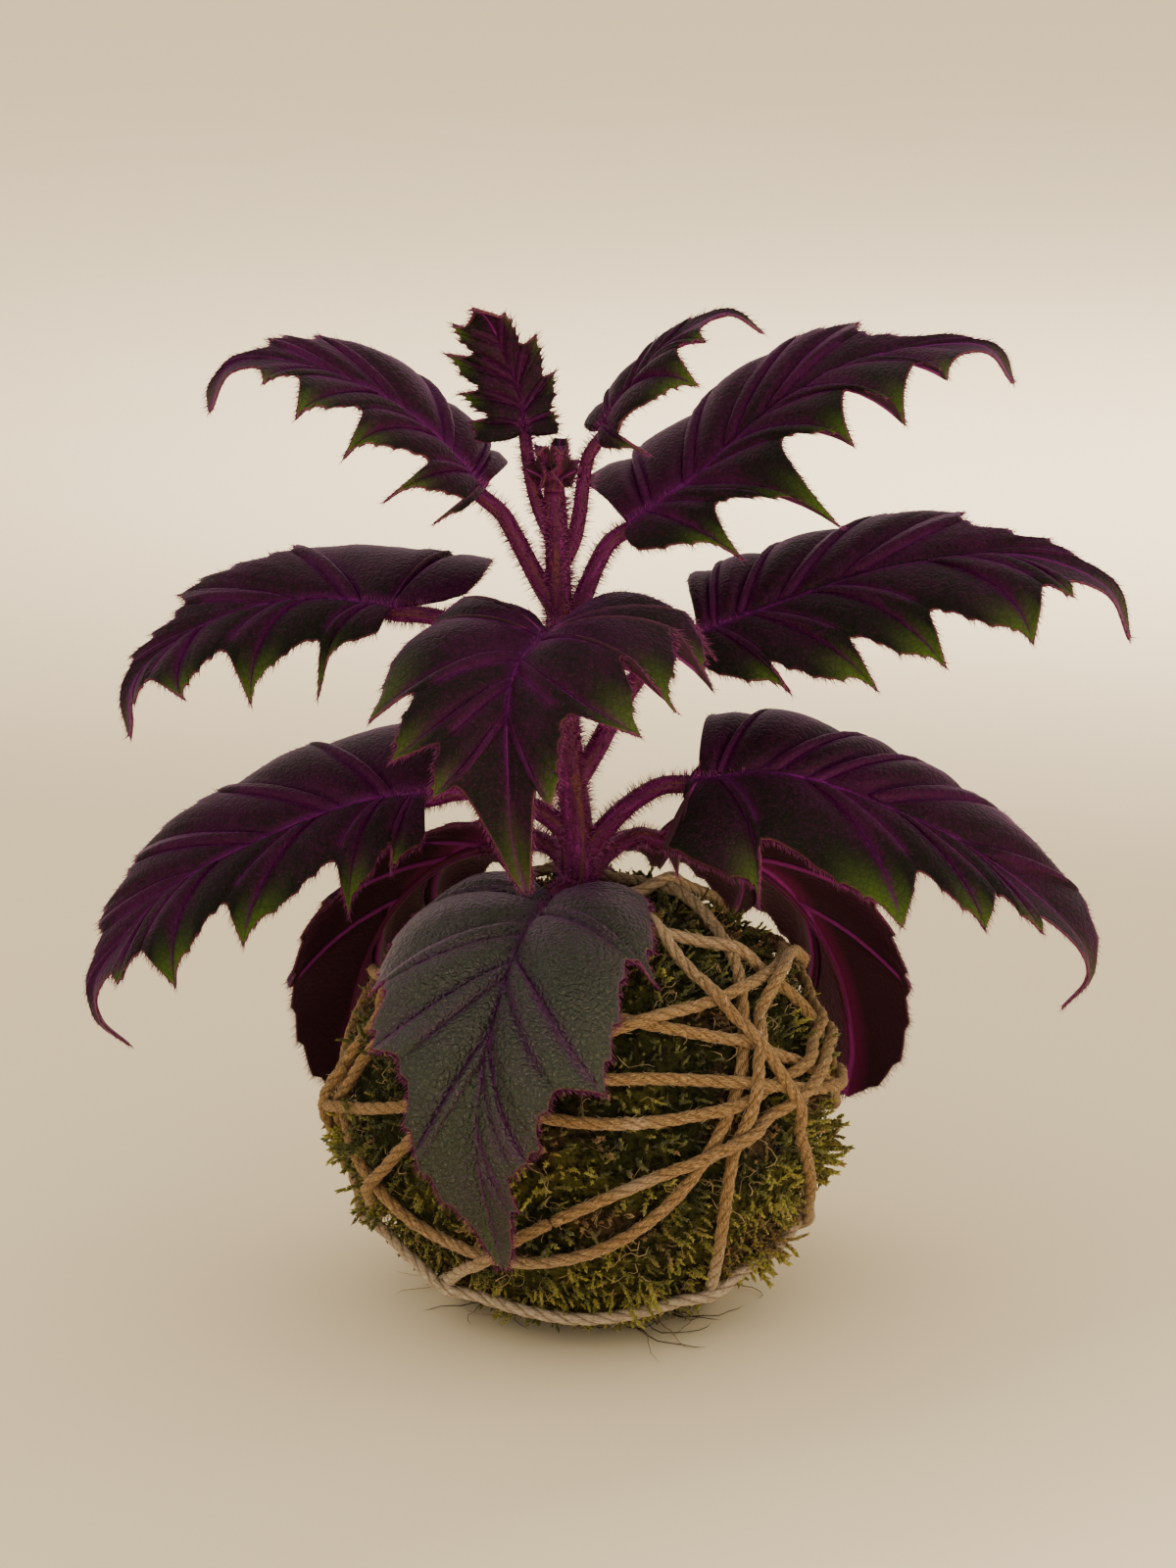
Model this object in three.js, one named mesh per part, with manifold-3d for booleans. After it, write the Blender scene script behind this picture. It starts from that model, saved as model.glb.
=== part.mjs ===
// Kokedama: a velvet plant with purple stems growing from a soil ball that is
// wrapped in moss and bound with jute twine. Millimetres, +Z up. The origin is
// the middle of the small flat spot that the moss ball rests on, +X is to the
// right of the plant's front, and -Y is the front.

import * as THREE from "three";
import { mergeVertices } from "three/addons/utils/BufferGeometryUtils.js";
import Module from "manifold-3d";

const wasm = await Module();
wasm.setup();

// Clearance that touching pieces keep
const GAP = 0.35;

// The moss ball: an egg-shaped body, wider than high, flattened underneath
const BALL_RADIUS = 54;
const BALL_HALF_HEIGHT = 50;
const BALL_CENTRE_Z = 47.5;
const CROWN_DIP = 4;
const CROWN_DIP_RADIUS = 20;
const MOSS_THICKNESS = 7;
const MOSS_BUMP = 1.4;
const MOSS_OPENING_RADIUS = 9;
const BALL_SEGMENTS = 28;
const OUTER_RINGS = 19;
const INNER_RINGS = 10;

// The twine that binds the ball, and the longer end that it is hung by
const TWINE_DIAMETER = 3;
const WRAP_SIDES = 4;
const WRAP_STEPS = 22;
const WRAP_LIFT = 0.95;
const WRAP_TURNS = [
  { lean: 48, heading: 240, offset: 28 },
  { lean: 56, heading: 100, offset: 2 },
  { lean: 24, heading: 50, offset: 17 },
  { lean: 38, heading: 148, offset: 6 },
  { lean: 17, heading: 300, offset: 31 },
  { lean: 12, heading: 110, offset: 6 },
  { lean: 100, heading: 352, offset: 48 },
  { lean: 36, heading: 165, offset: -16 },
  { lean: 16, heading: 268, offset: -25 },
];
// How far each turn wanders from a plain circle
const WANDER = 4;
const SMALL_WANDER = 1.5;
// Where the knot sits on the first turn
const KNOT_ANGLE = 102;
const KNOT_SIZE = [4.4, 3.4, 3];
const HANG_SIDES = 8;
const TWINE_REST = TWINE_DIAMETER / 2 + 0.05;
const HANG_STEPS = 52;
const HANG_ON_BALL = [
  [20.5, 93],
  [34, 88],
  [46, 83],
  [58, 77],
  [70, 71],
  [82, 66],
  [92, 63],
];
const HANG_OFF_BALL = [
  [28, 57, 28],
  [27.6, 60, 12],
  [27, 66, 3],
  [26.2, 75, TWINE_REST],
];
const HANG_END_GAP = 12.2;
const COIL_CENTRE = [6, 96];
const COIL_TURNS_ACROSS = 3;
const COIL_LAYERS = 2;
const COIL_RADIUS = 16.5;
const COIL_SPARE = 0.2;
const TIE_ANGLE = 200;
const TIE_WIDTH = 4;
const TIE_THICKNESS = 1.2;

// The main stem, as points up its middle with the stem's radius at each
const STEM = [
  { at: [-2.0, 0.0, 70], radius: 3.6 },
  { at: [-2.0, 0.0, 92], radius: 3.6 },
  { at: [-2.6, 0.5, 112], radius: 3.5 },
  { at: [-4.6, 1.0, 128], radius: 3.3 },
  { at: [-6.0, 1.5, 150], radius: 3.1 },
  { at: [-6.6, 1.5, 172], radius: 2.8 },
  { at: [-7.4, 1.0, 188], radius: 2.4 },
];
const STEM_SIDES = 10;
const STEM_STEPS = 14;
const STALK_SIDES = 6;
const STALK_STEPS = 7;

// The blade: its thickness and strips, how wide it is at its tip, how its side
// veins slant, curve and stand apart, how high it is pleated between them, how
// far out its base is cut square, how far on a tooth its edge swells, and how far
// on the vein of a tooth starts
const BLADE_THICKNESS = 0.8;
const BLADE_STRIPS = 3;
const TIP_WIDTH = 0.02;
const CLAW_WIDTH = 0.12;
const BACK_LEAF_CLAW = 0.5;
const VEIN_SLANT = 0.42;
const VEIN_CURVE = -0.3;
const FIRST_VEINS_APART = 0.005;
const PLEAT_HEIGHT = 1.3;
const PLEAT_FULLNESS = 1.3;
const EAR_FOOT = 0.3;
const SWELL_AT = 0.6;
const VEIN_FROM = 0.8;

// The stalk: how steeply it leaves the stem, how it tapers to the blade, and
// how far under the blade's middle its end runs, in its own radii
const STALK_RISE = 55;
const STALK_RADII = [1.05, 0.85, 0.35];
const STALK_UNDER_BLADE = [
  [0, 0.75],
  [0.12, 0.6],
];

// Each leaf: the height where its stalk leaves the stem, its midrib from the
// blade's base to its tip, and for the left then the right half its width, the
// angles at which it rises from the midrib and folds over, how far its base
// reaches back, how wide it is there, and its teeth. A tooth is the place of its
// point in shares of the length and the half width; cut is how deep the notches
// after the teeth are, back how far on they lie, and swell how full the edge is
const LEAVES = {
  leaf_upper_left: {
    joint: 160, stalk: 2.1, half: [30, 30], roll: [-30, -28, -14],
    lift: [14, 14], fold: [50, 70], ear: [0, -0.02], base: [0.45, 0.7],
    cut: [0.55, 0.14], swell: [0.4, 0.8], back: [-0.01, 0.01],
    teeth: [
      [[0.02, 0.72], [0.18, 0.9], [0.46, 0.8], [0.68, 0.68], [0.8, 0.4]],
      [[0.12, 1.1], [0.34, 1.25], [0.58, 0.56], [0.72, 0.26], [0.86, 0.08]],
    ],
    rib: [
      [-23, 2, 188], [-34, 4, 200], [-48, 4, 210],
      [-66, 0, 217], [-78, -4, 216], [-82, -8, 207],
    ],
  },
  leaf_upper_right: {
    joint: 154, stalk: 2.2, half: [29, 30], roll: [42, 34, 15],
    lift: [14, 14], fold: [70, 40], ear: [0, 0.02], base: [0.85, 0.3],
    cut: [0.14, 0.62], swell: [0.8, 0.35], back: [0.01, 0.035],
    teeth: [
      [[0.14, 1.15], [0.34, 1.17], [0.5, 0.87], [0.62, 0.52], [0.86, 0.08]],
      [[0.14, 0.85], [0.35, 1.22], [0.55, 0.8], [0.72, 0.83], [0.83, 0.52]],
    ],
    rib: [[9, 4, 180], [24, 8, 190], [41, 10, 205], [60, 8, 216], [85, 3, 220], [93, -1, 212]],
  },
  leaf_middle_left: {
    joint: 136, stalk: 2.2, half: [23, 31], roll: [-32, -28, -14],
    lift: [14, 14], fold: [60, 62], ear: [-0.02, 0.19], base: [0.4, 0.75],
    cut: [0.45, 0.14], swell: [0.3, 0.8], back: [0, 0.01],
    teeth: [
      [[0.21, 1.1], [0.57, 1.05], [0.82, 0.74], [0.91, 0.18]],
      [[-0.05, 1.08], [0.3, 0.86], [0.58, 0.44], [0.8, 0.14]],
    ],
    rib: [
      [-43, 8, 160], [-57, 12, 161], [-72, 12, 160],
      [-88, 8, 155], [-101, 2, 145], [-102, -3, 133],
    ],
  },
  leaf_middle_right: {
    joint: 120, stalk: 2.3, half: [32, 28], roll: [38, 32, 15],
    lift: [14, 14], fold: [75, 40], ear: [-0.03, 0], base: [0.15, 0.4],
    cut: [0.12, 0.4], swell: [0.8, 0.6], back: [0.01, -0.02],
    teeth: [
      [[0.12, 1], [0.24, 1.08], [0.4, 0.9], [0.57, 0.62], [0.8, 0.14]],
      [[0.15, 0.87], [0.33, 1.12], [0.53, 1.08], [0.78, 0.98], [0.83, 0.42]],
    ],
    rib: [[23, 6, 154], [40, 8, 160], [66, 8, 169], [94, 4, 173], [114, 0, 167], [120, -3, 155]],
  },
  leaf_middle_front: {
    joint: 148, stalk: 2.2, half: [39, 34], roll: [4, 0, 0], facing: -92,
    lift: [34, 34], fold: [84, 84], ear: [0.2, 0.05], base: [0.6, 0.5],
    cut: [0.3, 0.3], swell: [0.55, 0.55], back: [-0.05, -0.03],
    teeth: [
      [[-0.15, 0.98], [-0.04, 1.1], [0.2, 1], [0.5, 0.77], [0.72, 0.25]],
      [[-0.06, 0.95], [0.12, 1], [0.42, 0.98], [0.56, 0.78], [0.68, 0.5]],
    ],
    rib: [
      [-9, -14, 159], [-15, -27, 155], [-17, -37, 148],
      [-17, -45, 136], [-16, -49, 122], [-13, -48, 110],
    ],
  },
  leaf_lower_left: {
    joint: 107, stalk: 2.3, half: [26, 33], roll: [-34, -30, -15], facing: 184,
    lift: [14, 14], fold: [60, 62], ear: [-0.02, 0.08], base: [0.5, 0.7],
    cut: [0.4, 0.14], swell: [0.5, 0.8], back: [-0.01, 0.01],
    teeth: [
      [[0.1, 0.75], [0.25, 1], [0.51, 0.88], [0.73, 0.84], [0.81, 0.38]],
      [[0.2, 1], [0.4, 0.93], [0.6, 0.66], [0.74, 0.38], [0.86, 0.12]],
    ],
    rib: [
      [-36, 4, 118], [-52, 3, 116], [-72, 0, 109], [-94, -5, 98],
      [-109, -10, 81], [-110, -12, 71], [-103, -13, 64],
    ],
  },
  leaf_lower_right: {
    joint: 103, stalk: 2.4, half: [31, 30], roll: [38, 30, 15], facing: -6,
    lift: [14, 14], fold: [75, 50], ear: [-0.04, 0.01], base: [0.7, 0.35],
    cut: [0.12, 0.36], swell: [0.8, 0.55], back: [0.01, -0.02],
    teeth: [
      [[0.13, 0.8], [0.33, 1.08], [0.45, 1.1], [0.58, 1], [0.78, 0.5]],
      [[-0.03, 0.8], [0.17, 1.1], [0.51, 0.92], [0.67, 0.65], [0.77, 0.35]],
    ],
    rib: [
      [23, -2, 123], [42, -4, 125], [66, -6, 118], [90, -9, 106],
      [108, -12, 91], [112, -13, 81], [106, -14, 73],
    ],
  },
  leaf_lower_front: {
    joint: 95, stalk: 2.2, half: [32, 34], roll: [0, 0, 0], facing: -97,
    lift: [28, 28], fold: [80, 80], ear: [0.04, 0.04], base: [0.6, 0.6],
    cut: [0.13, 0.1], swell: [0.6, 0.7], back: [0.02, 0.02],
    teeth: [
      [[0.2, 1], [0.55, 0.83], [0.72, 0.34], [0.84, 0.18]],
      [[0.06, 0.95], [0.36, 0.96], [0.53, 0.75], [0.7, 0.38]],
    ],
    rib: [
      [-8, -13, 98], [-14, -33, 96], [-19, -52, 87],
      [-23, -64, 71], [-23, -66, 52], [-18, -58, 28],
    ],
  },
  leaf_back_left: {
    joint: 99, stalk: 2.2, half: [24, 20], roll: [30, 15, 0], facing: 130,
    lift: [14, 26], fold: [50, 30], ear: [0, 0], base: [0.25, 0.5],
    cut: [0.1, 0.1], swell: [0.8, 0.8], back: [0, 0], claw: BACK_LEAF_CLAW,
    teeth: [
      [[0.22, 0.52], [0.46, 0.75], [0.68, 0.9]],
      [[0.24, 1], [0.5, 0.95], [0.76, 0.5]],
    ],
    rib: [
      [-18, 14, 105], [-32, 27, 97], [-46, 36, 82],
      [-55, 41, 62], [-58, 41, 46], [-56, 39, 33],
    ],
  },
  leaf_back_right: {
    joint: 96, stalk: 2.2, half: [28, 28], roll: [-30, -15, 0], facing: 50,
    lift: [26, 14], fold: [30, 50], ear: [0, 0], base: [0.5, 0.3],
    cut: [0.1, 0.1], swell: [0.8, 0.8], back: [0, 0], claw: BACK_LEAF_CLAW,
    teeth: [
      [[0.24, 0.9], [0.5, 0.85], [0.76, 0.45]],
      [[0.22, 0.6], [0.48, 0.7], [0.72, 0.72]],
    ],
    rib: [[16, 16, 105], [31, 29, 98], [48, 38, 84], [59, 42, 65], [63, 42, 46], [61, 39, 33]],
  },
  leaf_young_left: {
    joint: 176, stalk: 1.7, half: [12, 10], roll: [0, 0, 0], facing: 90,
    lift: [10, 10], fold: [30, 30], ear: [0.04, 0.04], base: [0.8, 0.7],
    cut: [0.4, 0.25], swell: [0.5, 0.5], back: [0, 0],
    teeth: [
      [[0.1, 1], [0.35, 1.1], [0.6, 1.1], [0.82, 0.7]],
      [[0.1, 0.7], [0.3, 0.9], [0.55, 0.8], [0.8, 0.4]],
    ],
    rib: [[-14, 4, 201], [-15, 6, 208], [-18, 6, 217], [-22, 2, 226], [-25, -3, 229]],
  },
  leaf_young_right: {
    joint: 170, stalk: 1.7, half: [14, 15], roll: [30, 20, 10],
    lift: [15, 15], fold: [60, 60], ear: [0.04, 0.04], base: [0.6, 0.5],
    cut: [0.3, 0.5], swell: [0.5, 0.4], back: [0, 0],
    teeth: [
      [[0.15, 1], [0.42, 0.8], [0.62, 0.4]],
      [[0.05, 1.05], [0.55, 1.1], [0.68, 0.6]],
    ],
    rib: [[3, 0, 202], [10, 0, 212], [19, -2, 222], [30, -4, 228], [38, -7, 224]],
  },
};

// The growing tip: its cone, and its curled leaves' midrib as distances out
// from the cone's axis and up
const BUD_CONE = { radius: 2.3, height: 7 };
const BUD_HEADINGS = [-125, -75, 75];
const BUD_RIB = [
  [0.4, 0.8],
  [2.6, 4],
  [3.6, 8],
  [5.2, 10.4],
  [6.8, 8.6],
];
const BUD_WIDTH = 4.5;
const BUD_TEETH = [[0.45, 1]];
const BUD_CLAW = 0.4;

const up = new THREE.Vector3(0, 0, 1);
const radians = THREE.MathUtils.degToRad;
const clamp = THREE.MathUtils.clamp;
const point = (p) => new THREE.Vector3(...p);
const curveThrough = (points) => new THREE.CatmullRomCurve3(points.map(point), false, "catmullrom", 0.5);

// The value at x of a line drawn through evenly spaced values from 0 to 1
function alongValues(values, x) {
  const place = clamp(x, 0, 1) * (values.length - 1);
  const i = Math.min(Math.floor(place), values.length - 2);
  return values[i] + (values[i + 1] - values[i]) * (place - i);
}

// A closed three.js geometry as a solid
function solidOf(geometry) {
  const bare = geometry.index ? geometry.toNonIndexed() : geometry.clone();
  bare.deleteAttribute("normal");
  bare.deleteAttribute("uv");
  const merged = mergeVertices(bare, 1e-4);
  const index = merged.index.array;
  const triangles = [];
  for (let i = 0; i < index.length; i += 3) {
    const [a, b, c] = [index[i], index[i + 1], index[i + 2]];
    if (a !== b && b !== c && c !== a) triangles.push(a, b, c);
  }
  const made = new wasm.Manifold(
    new wasm.Mesh({
      numProp: 3,
      vertProperties: merged.attributes.position.array,
      triVerts: new Uint32Array(triangles),
    }),
  );
  if (made.volume() >= 0) return made;
  for (let i = 0; i < triangles.length; i += 3) {
    [triangles[i + 1], triangles[i + 2]] = [triangles[i + 2], triangles[i + 1]];
  }
  return new wasm.Manifold(
    new wasm.Mesh({
      numProp: 3,
      vertProperties: merged.attributes.position.array,
      triVerts: new Uint32Array(triangles),
    }),
  );
}

// The largest of the bodies that a solid falls into, without any slivers
const largestBody = (solid) => solid.decompose().sort((a, b) => b.volume() - a.volume())[0];

// A solid as a three.js geometry
function geometryOf(solid) {
  const mesh = solid.getMesh();
  return new THREE.BufferGeometry()
    .setAttribute("position", new THREE.BufferAttribute(new Float32Array(mesh.vertProperties), 3))
    .setIndex(new THREE.BufferAttribute(new Uint32Array(mesh.triVerts), 1));
}

// A rod bent along a curve: a cylinder whose every ring is moved to its place
function bentRod(curve, radiusAt, sides, steps) {
  const geometry = new THREE.CylinderGeometry(1, 1, 1, sides, steps);
  const frames = curve.computeFrenetFrames(steps, false);
  const position = geometry.getAttribute("position");
  for (let i = 0; i < position.count; i++) {
    const share = clamp(position.getY(i) + 0.5, 0, 1);
    const ring = Math.round(share * steps);
    const radius = radiusAt(share);
    const place = curve.getPointAt(share);
    place.addScaledVector(frames.normals[ring], position.getX(i) * radius);
    place.addScaledVector(frames.binormals[ring], position.getZ(i) * radius);
    position.setXYZ(i, place.x, place.y, place.z);
  }
  return solidOf(geometry);
}

// The moss ball's surface

// How far the moss cushions stand out, from -1 to 1, by direction
function mossCushion(direction) {
  const { x, y, z } = direction;
  const broad = Math.sin(4.1 * x + 1.3) * Math.cos(3.7 * y - 0.6) * Math.sin(4.6 * z + 2.1);
  const small = Math.sin(9.3 * x - 2.2 * z) * Math.sin(8.7 * y + 1.9) * Math.cos(7.9 * z + 0.4);
  return 0.6 * broad + 0.4 * small;
}

// The direction at an angle down from the top and a heading round the ball
function directionAt(down, heading) {
  const flat = Math.abs(Math.sin(down)) < 1e-6 ? 0 : Math.sin(down);
  return new THREE.Vector3(flat * Math.cos(heading), flat * Math.sin(heading), Math.cos(down));
}

// The point of the ball in a direction from its middle, raised by some height
function ballPoint(direction, height) {
  const d = direction.clone().normalize();
  const flat = Math.hypot(d.x, d.y);
  const reach = 1 / Math.hypot(flat / BALL_RADIUS, d.z / BALL_HALF_HEIGHT);
  const place = d.multiplyScalar(reach + height);
  const fromAxis = Math.hypot(place.x, place.y);
  if (place.z > 0) place.z -= CROWN_DIP * Math.max(0, 1 - (fromAxis / CROWN_DIP_RADIUS) ** 2);
  place.z += BALL_CENTRE_Z;
  return place;
}

const mossPoint = (direction, height) => ballPoint(direction, MOSS_BUMP * mossCushion(direction) + height);

// A body of revolution round Z whose rings are then set on the ball's surface.
// Each step of the profile is an angle down from the top and a depth, where
// the outer skin has depth 0 and takes the moss's cushions.
function ballShell(profile, segments) {
  const lathe = new THREE.LatheGeometry(
    profile.map(([angle]) => new THREE.Vector2(Math.sin(angle), Math.cos(angle))),
    segments,
  );
  const position = lathe.getAttribute("position");
  const count = profile.length;
  for (let i = 0; i < position.count; i++) {
    const [angle, depth] = profile[i % count];
    const turn = (Math.floor(i / count) % segments) * ((2 * Math.PI) / segments);
    const direction = directionAt(angle, turn);
    const place = depth === 0 ? mossPoint(direction, 0) : ballPoint(direction, -depth);
    position.setXYZ(i, place.x, place.y, Math.max(place.z, depth));
  }
  return solidOf(lathe);
}

const openingAngle = Math.asin(MOSS_OPENING_RADIUS / BALL_RADIUS);
const stemCurve = curveThrough(STEM.map(({ at }) => at));
const stemRadius = (share) => alongValues(STEM.map(({ radius }) => radius), share);
const stemSolid = bentRod(stemCurve, stemRadius, STEM_SIDES, STEM_STEPS);
const stemWithClearance = bentRod(stemCurve, (share) => stemRadius(share) + GAP, STEM_SIDES, STEM_STEPS);

// The stem's middle at a height
function stemCentre(height) {
  const i = Math.max(STEM.findIndex(({ at }) => at[2] >= height), 1);
  const [a, b] = [point(STEM[i - 1].at), point(STEM[i].at)];
  return a.lerp(b, (height - a.z) / (b.z - a.z));
}

// The angles down from the top of the rings where moss and soil meet
const innerAngles = () =>
  Array.from({ length: INNER_RINGS }, (_, k) => {
    return openingAngle + ((Math.PI - openingAngle) * k) / INNER_RINGS;
  });

function soilBall() {
  const depth = MOSS_THICKNESS + GAP;
  const profile = [Math.PI, ...innerAngles().reverse(), 0].map((angle) => [angle, depth]);
  return ballShell(profile, BALL_SEGMENTS).subtract(stemWithClearance);
}

function mossCover() {
  const outer = Array.from({ length: OUTER_RINGS + 1 }, (_, k) => [
    Math.PI + ((openingAngle - Math.PI) * k) / OUTER_RINGS,
    0,
  ]);
  const inner = innerAngles().map((angle) => [angle, MOSS_THICKNESS]);
  return ballShell([...outer, ...inner, [Math.PI, MOSS_THICKNESS]], BALL_SEGMENTS);
}

// The binding twine

// A ring of unit thickness is mapped on the ball, so its own radius is free
const TORUS_RADIUS = 10;
const NEARBY = 0.05;

// The direction from the ball's middle to a point on a turn of twine
function wrapDirection({ lean, heading, offset }, angle) {
  const tilt = radians(lean);
  const turn = radians(heading);
  const axis = directionAt(tilt, turn);
  const first = new THREE.Vector3(-Math.sin(turn), Math.cos(turn), 0);
  const second = axis.clone().cross(first);
  const broad = WANDER * Math.sin(2 * angle + 3 * turn);
  const small = SMALL_WANDER * Math.sin(3 * angle + 5 * turn);
  const raise = (offset + broad + small) / BALL_RADIUS;
  return first
    .multiplyScalar(Math.cos(angle))
    .addScaledVector(second, Math.sin(angle))
    .addScaledVector(axis, raise)
    .normalize();
}

// The middle of a turn of twine where it lies on the moss
const wrapMiddle = (turn, angle) => mossPoint(wrapDirection(turn, angle), WRAP_LIFT + TWINE_DIAMETER / 2);

// One turn of twine: a torus whose rings are set on the moss
function wrapTurn(turn) {
  const torus = new THREE.TorusGeometry(TORUS_RADIUS, 1, WRAP_SIDES, WRAP_STEPS);
  const position = torus.getAttribute("position");
  for (let i = 0; i < position.count; i++) {
    const angle = Math.atan2(position.getY(i), position.getX(i));
    const out = Math.hypot(position.getX(i), position.getY(i)) - TORUS_RADIUS;
    const across = position.getZ(i);
    const place = wrapMiddle(turn, angle);
    const ahead = wrapMiddle(turn, angle + NEARBY).sub(wrapMiddle(turn, angle - NEARBY)).normalize();
    const outward = place.clone().sub(new THREE.Vector3(0, 0, BALL_CENTRE_Z));
    outward.addScaledVector(ahead, -outward.dot(ahead)).normalize();
    const sideways = ahead.clone().cross(outward);
    place.addScaledVector(outward, (out * TWINE_DIAMETER) / 2);
    place.addScaledVector(sideways, (across * TWINE_DIAMETER) / 2);
    position.setXYZ(i, place.x, place.y, place.z);
  }
  return solidOf(torus);
}

const twineWrap = () => wasm.Manifold.union([...WRAP_TURNS.map(wrapTurn), knot()]);

// Leaves

// The stations along one side's margin: the share of the length at the margin,
// the share of the half width, the phase of the pleat there, 1 on a vein and
// 0.5 between veins, and the share of the length where the line from the midrib
// starts, which a hooked tooth leaves behind
function marginStations(leaf, side) {
  const parts = [leaf.teeth, leaf.cut, leaf.swell, leaf.back, leaf.base, leaf.ear];
  const [teeth, cut, swell, back, base, ear] = parts.map((part) => part[side]);
  const plain = (x, width, phase) => ({ x, width, phase, from: Math.max(x, 0) });
  const stations = [plain(0, 0.04, 0.5), plain(-ear, EAR_FOOT * base, 0.6), plain(-ear, base, 0.7)];
  let [x, width] = [-ear, base];
  teeth.forEach(([tip, reach], k) => {
    const start = Math.max(x, 0);
    if (k > 0) stations.push(plain(x, width, 0.5));
    stations.push(plain(x + SWELL_AT * (tip - x), width + (reach - width) * swell, 0.8));
    stations.push({ x: tip, width: reach, phase: 1, from: start + VEIN_FROM * (tip - start) });
    const next = teeth[Math.min(k + 1, teeth.length - 1)][1];
    width = ((1 - cut) * (reach + next)) / 2;
    x = tip + back;
  });
  const claw = leaf.claw ?? CLAW_WIDTH;
  stations.push(plain(x, width, 0.5), plain((1 + x) / 2, claw, 0.5), plain(1, TIP_WIDTH, 0.5));
  return stations;
}

// A place on the midrib with the blade's directions there
function ribFrame(curve, leaf, share) {
  const at = clamp(share, 0, 1);
  const place = curve.getPointAt(at);
  const ahead = curve.getTangentAt(at);
  const [base, tip] = [leaf.rib[0], leaf.rib[leaf.rib.length - 1]];
  const heading =
    leaf.facing === undefined ? Math.atan2(tip[1] - base[1], tip[0] - base[0]) : radians(leaf.facing);
  const left = new THREE.Vector3(-Math.sin(heading), Math.cos(heading), 0);
  left.addScaledVector(ahead, -left.dot(ahead)).normalize();
  const above = ahead.clone().cross(left);
  const roll = radians(alongValues(leaf.roll, at));
  if (share < 0) place.addScaledVector(ahead, share * curve.getLength());
  return {
    place,
    left: left.clone().multiplyScalar(Math.cos(roll)).addScaledVector(above, Math.sin(roll)),
    above: above.multiplyScalar(Math.cos(roll)).addScaledVector(left, -Math.sin(roll)),
  };
}

// A point of the blade's middle surface, t from 0 at the midrib to 1 at the margin
function bladePoint(curve, leaf, side, { x, width, phase, from }, station, t) {
  const slanted = from * (VEIN_SLANT + (1 - VEIN_SLANT) * from * from);
  const root = Math.max(slanted, FIRST_VEINS_APART * station);
  const along = root + (x - root) * ((1 - VEIN_CURVE) * t + VEIN_CURVE * t * t);
  const lift = radians(leaf.lift[side]);
  const bend = Math.max(radians(leaf.fold[side]) * width, 1e-3);
  const reach = (width * leaf.half[side]) / bend;
  const out = reach * (Math.sin(lift) - Math.sin(lift - bend * t));
  const fullness = Math.min(1, PLEAT_FULLNESS * width * width);
  const pleat = PLEAT_HEIGHT * Math.cos(2 * Math.PI * phase) * t * t * fullness;
  const rise = reach * (Math.cos(lift - bend * t) - Math.cos(lift)) - pleat;
  const { place, left, above } = ribFrame(curve, leaf, along);
  return place.addScaledVector(left, side === 0 ? out : -out).addScaledVector(above, rise);
}

// The blade: two alike grids, above and below its middle surface, and a rim
function blade(leaf) {
  const curve = curveThrough(leaf.rib);
  const sides = [marginStations(leaf, 0), marginStations(leaf, 1)];
  const columns = sides[0].length;
  const rows = 2 * BLADE_STRIPS + 1;
  const middle = [];
  for (let k = 0; k < columns; k++) {
    for (let j = BLADE_STRIPS; j >= -BLADE_STRIPS; j--) {
      const side = j > 0 ? 0 : 1;
      middle.push(bladePoint(curve, leaf, side, sides[side][k], k, Math.abs(j) / BLADE_STRIPS));
    }
  }
  const faces = [];
  for (let k = 0; k + 1 < columns; k++) {
    for (let j = 0; j + 1 < rows; j++) {
      const [a, b] = [k * rows + j, k * rows + j + 1];
      const [c, d] = [a + rows, b + rows];
      if (j < BLADE_STRIPS) faces.push([a, b, d], [a, d, c]);
      else faces.push([a, b, c], [b, d, c]);
    }
  }
  const skin = new THREE.BufferGeometry().setFromPoints(middle).setIndex(faces.flat());
  skin.computeVertexNormals();
  const normal = skin.getAttribute("normal");
  const offset = (sign) =>
    middle.map((p, i) => {
      const n = new THREE.Vector3().fromBufferAttribute(normal, i);
      return p.clone().addScaledVector(n, (sign * BLADE_THICKNESS) / 2);
    });
  const points = [...offset(1), ...offset(-1)];
  const total = middle.length;
  const rim = [];
  for (let k = 0; k < columns; k++) rim.push(k * rows);
  for (let j = 1; j < rows; j++) rim.push((columns - 1) * rows + j);
  for (let k = columns - 2; k >= 0; k--) rim.push(k * rows + rows - 1);
  for (let j = rows - 2; j > 0; j--) rim.push(j);
  const index = faces.flat();
  faces.forEach(([a, b, c]) => index.push(a + total, c + total, b + total));
  rim.forEach((a, i) => {
    const b = rim[(i + 1) % rim.length];
    index.push(a, b, b + total, a, b + total, a + total);
  });
  return solidOf(new THREE.BufferGeometry().setFromPoints(points).setIndex(index));
}

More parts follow.
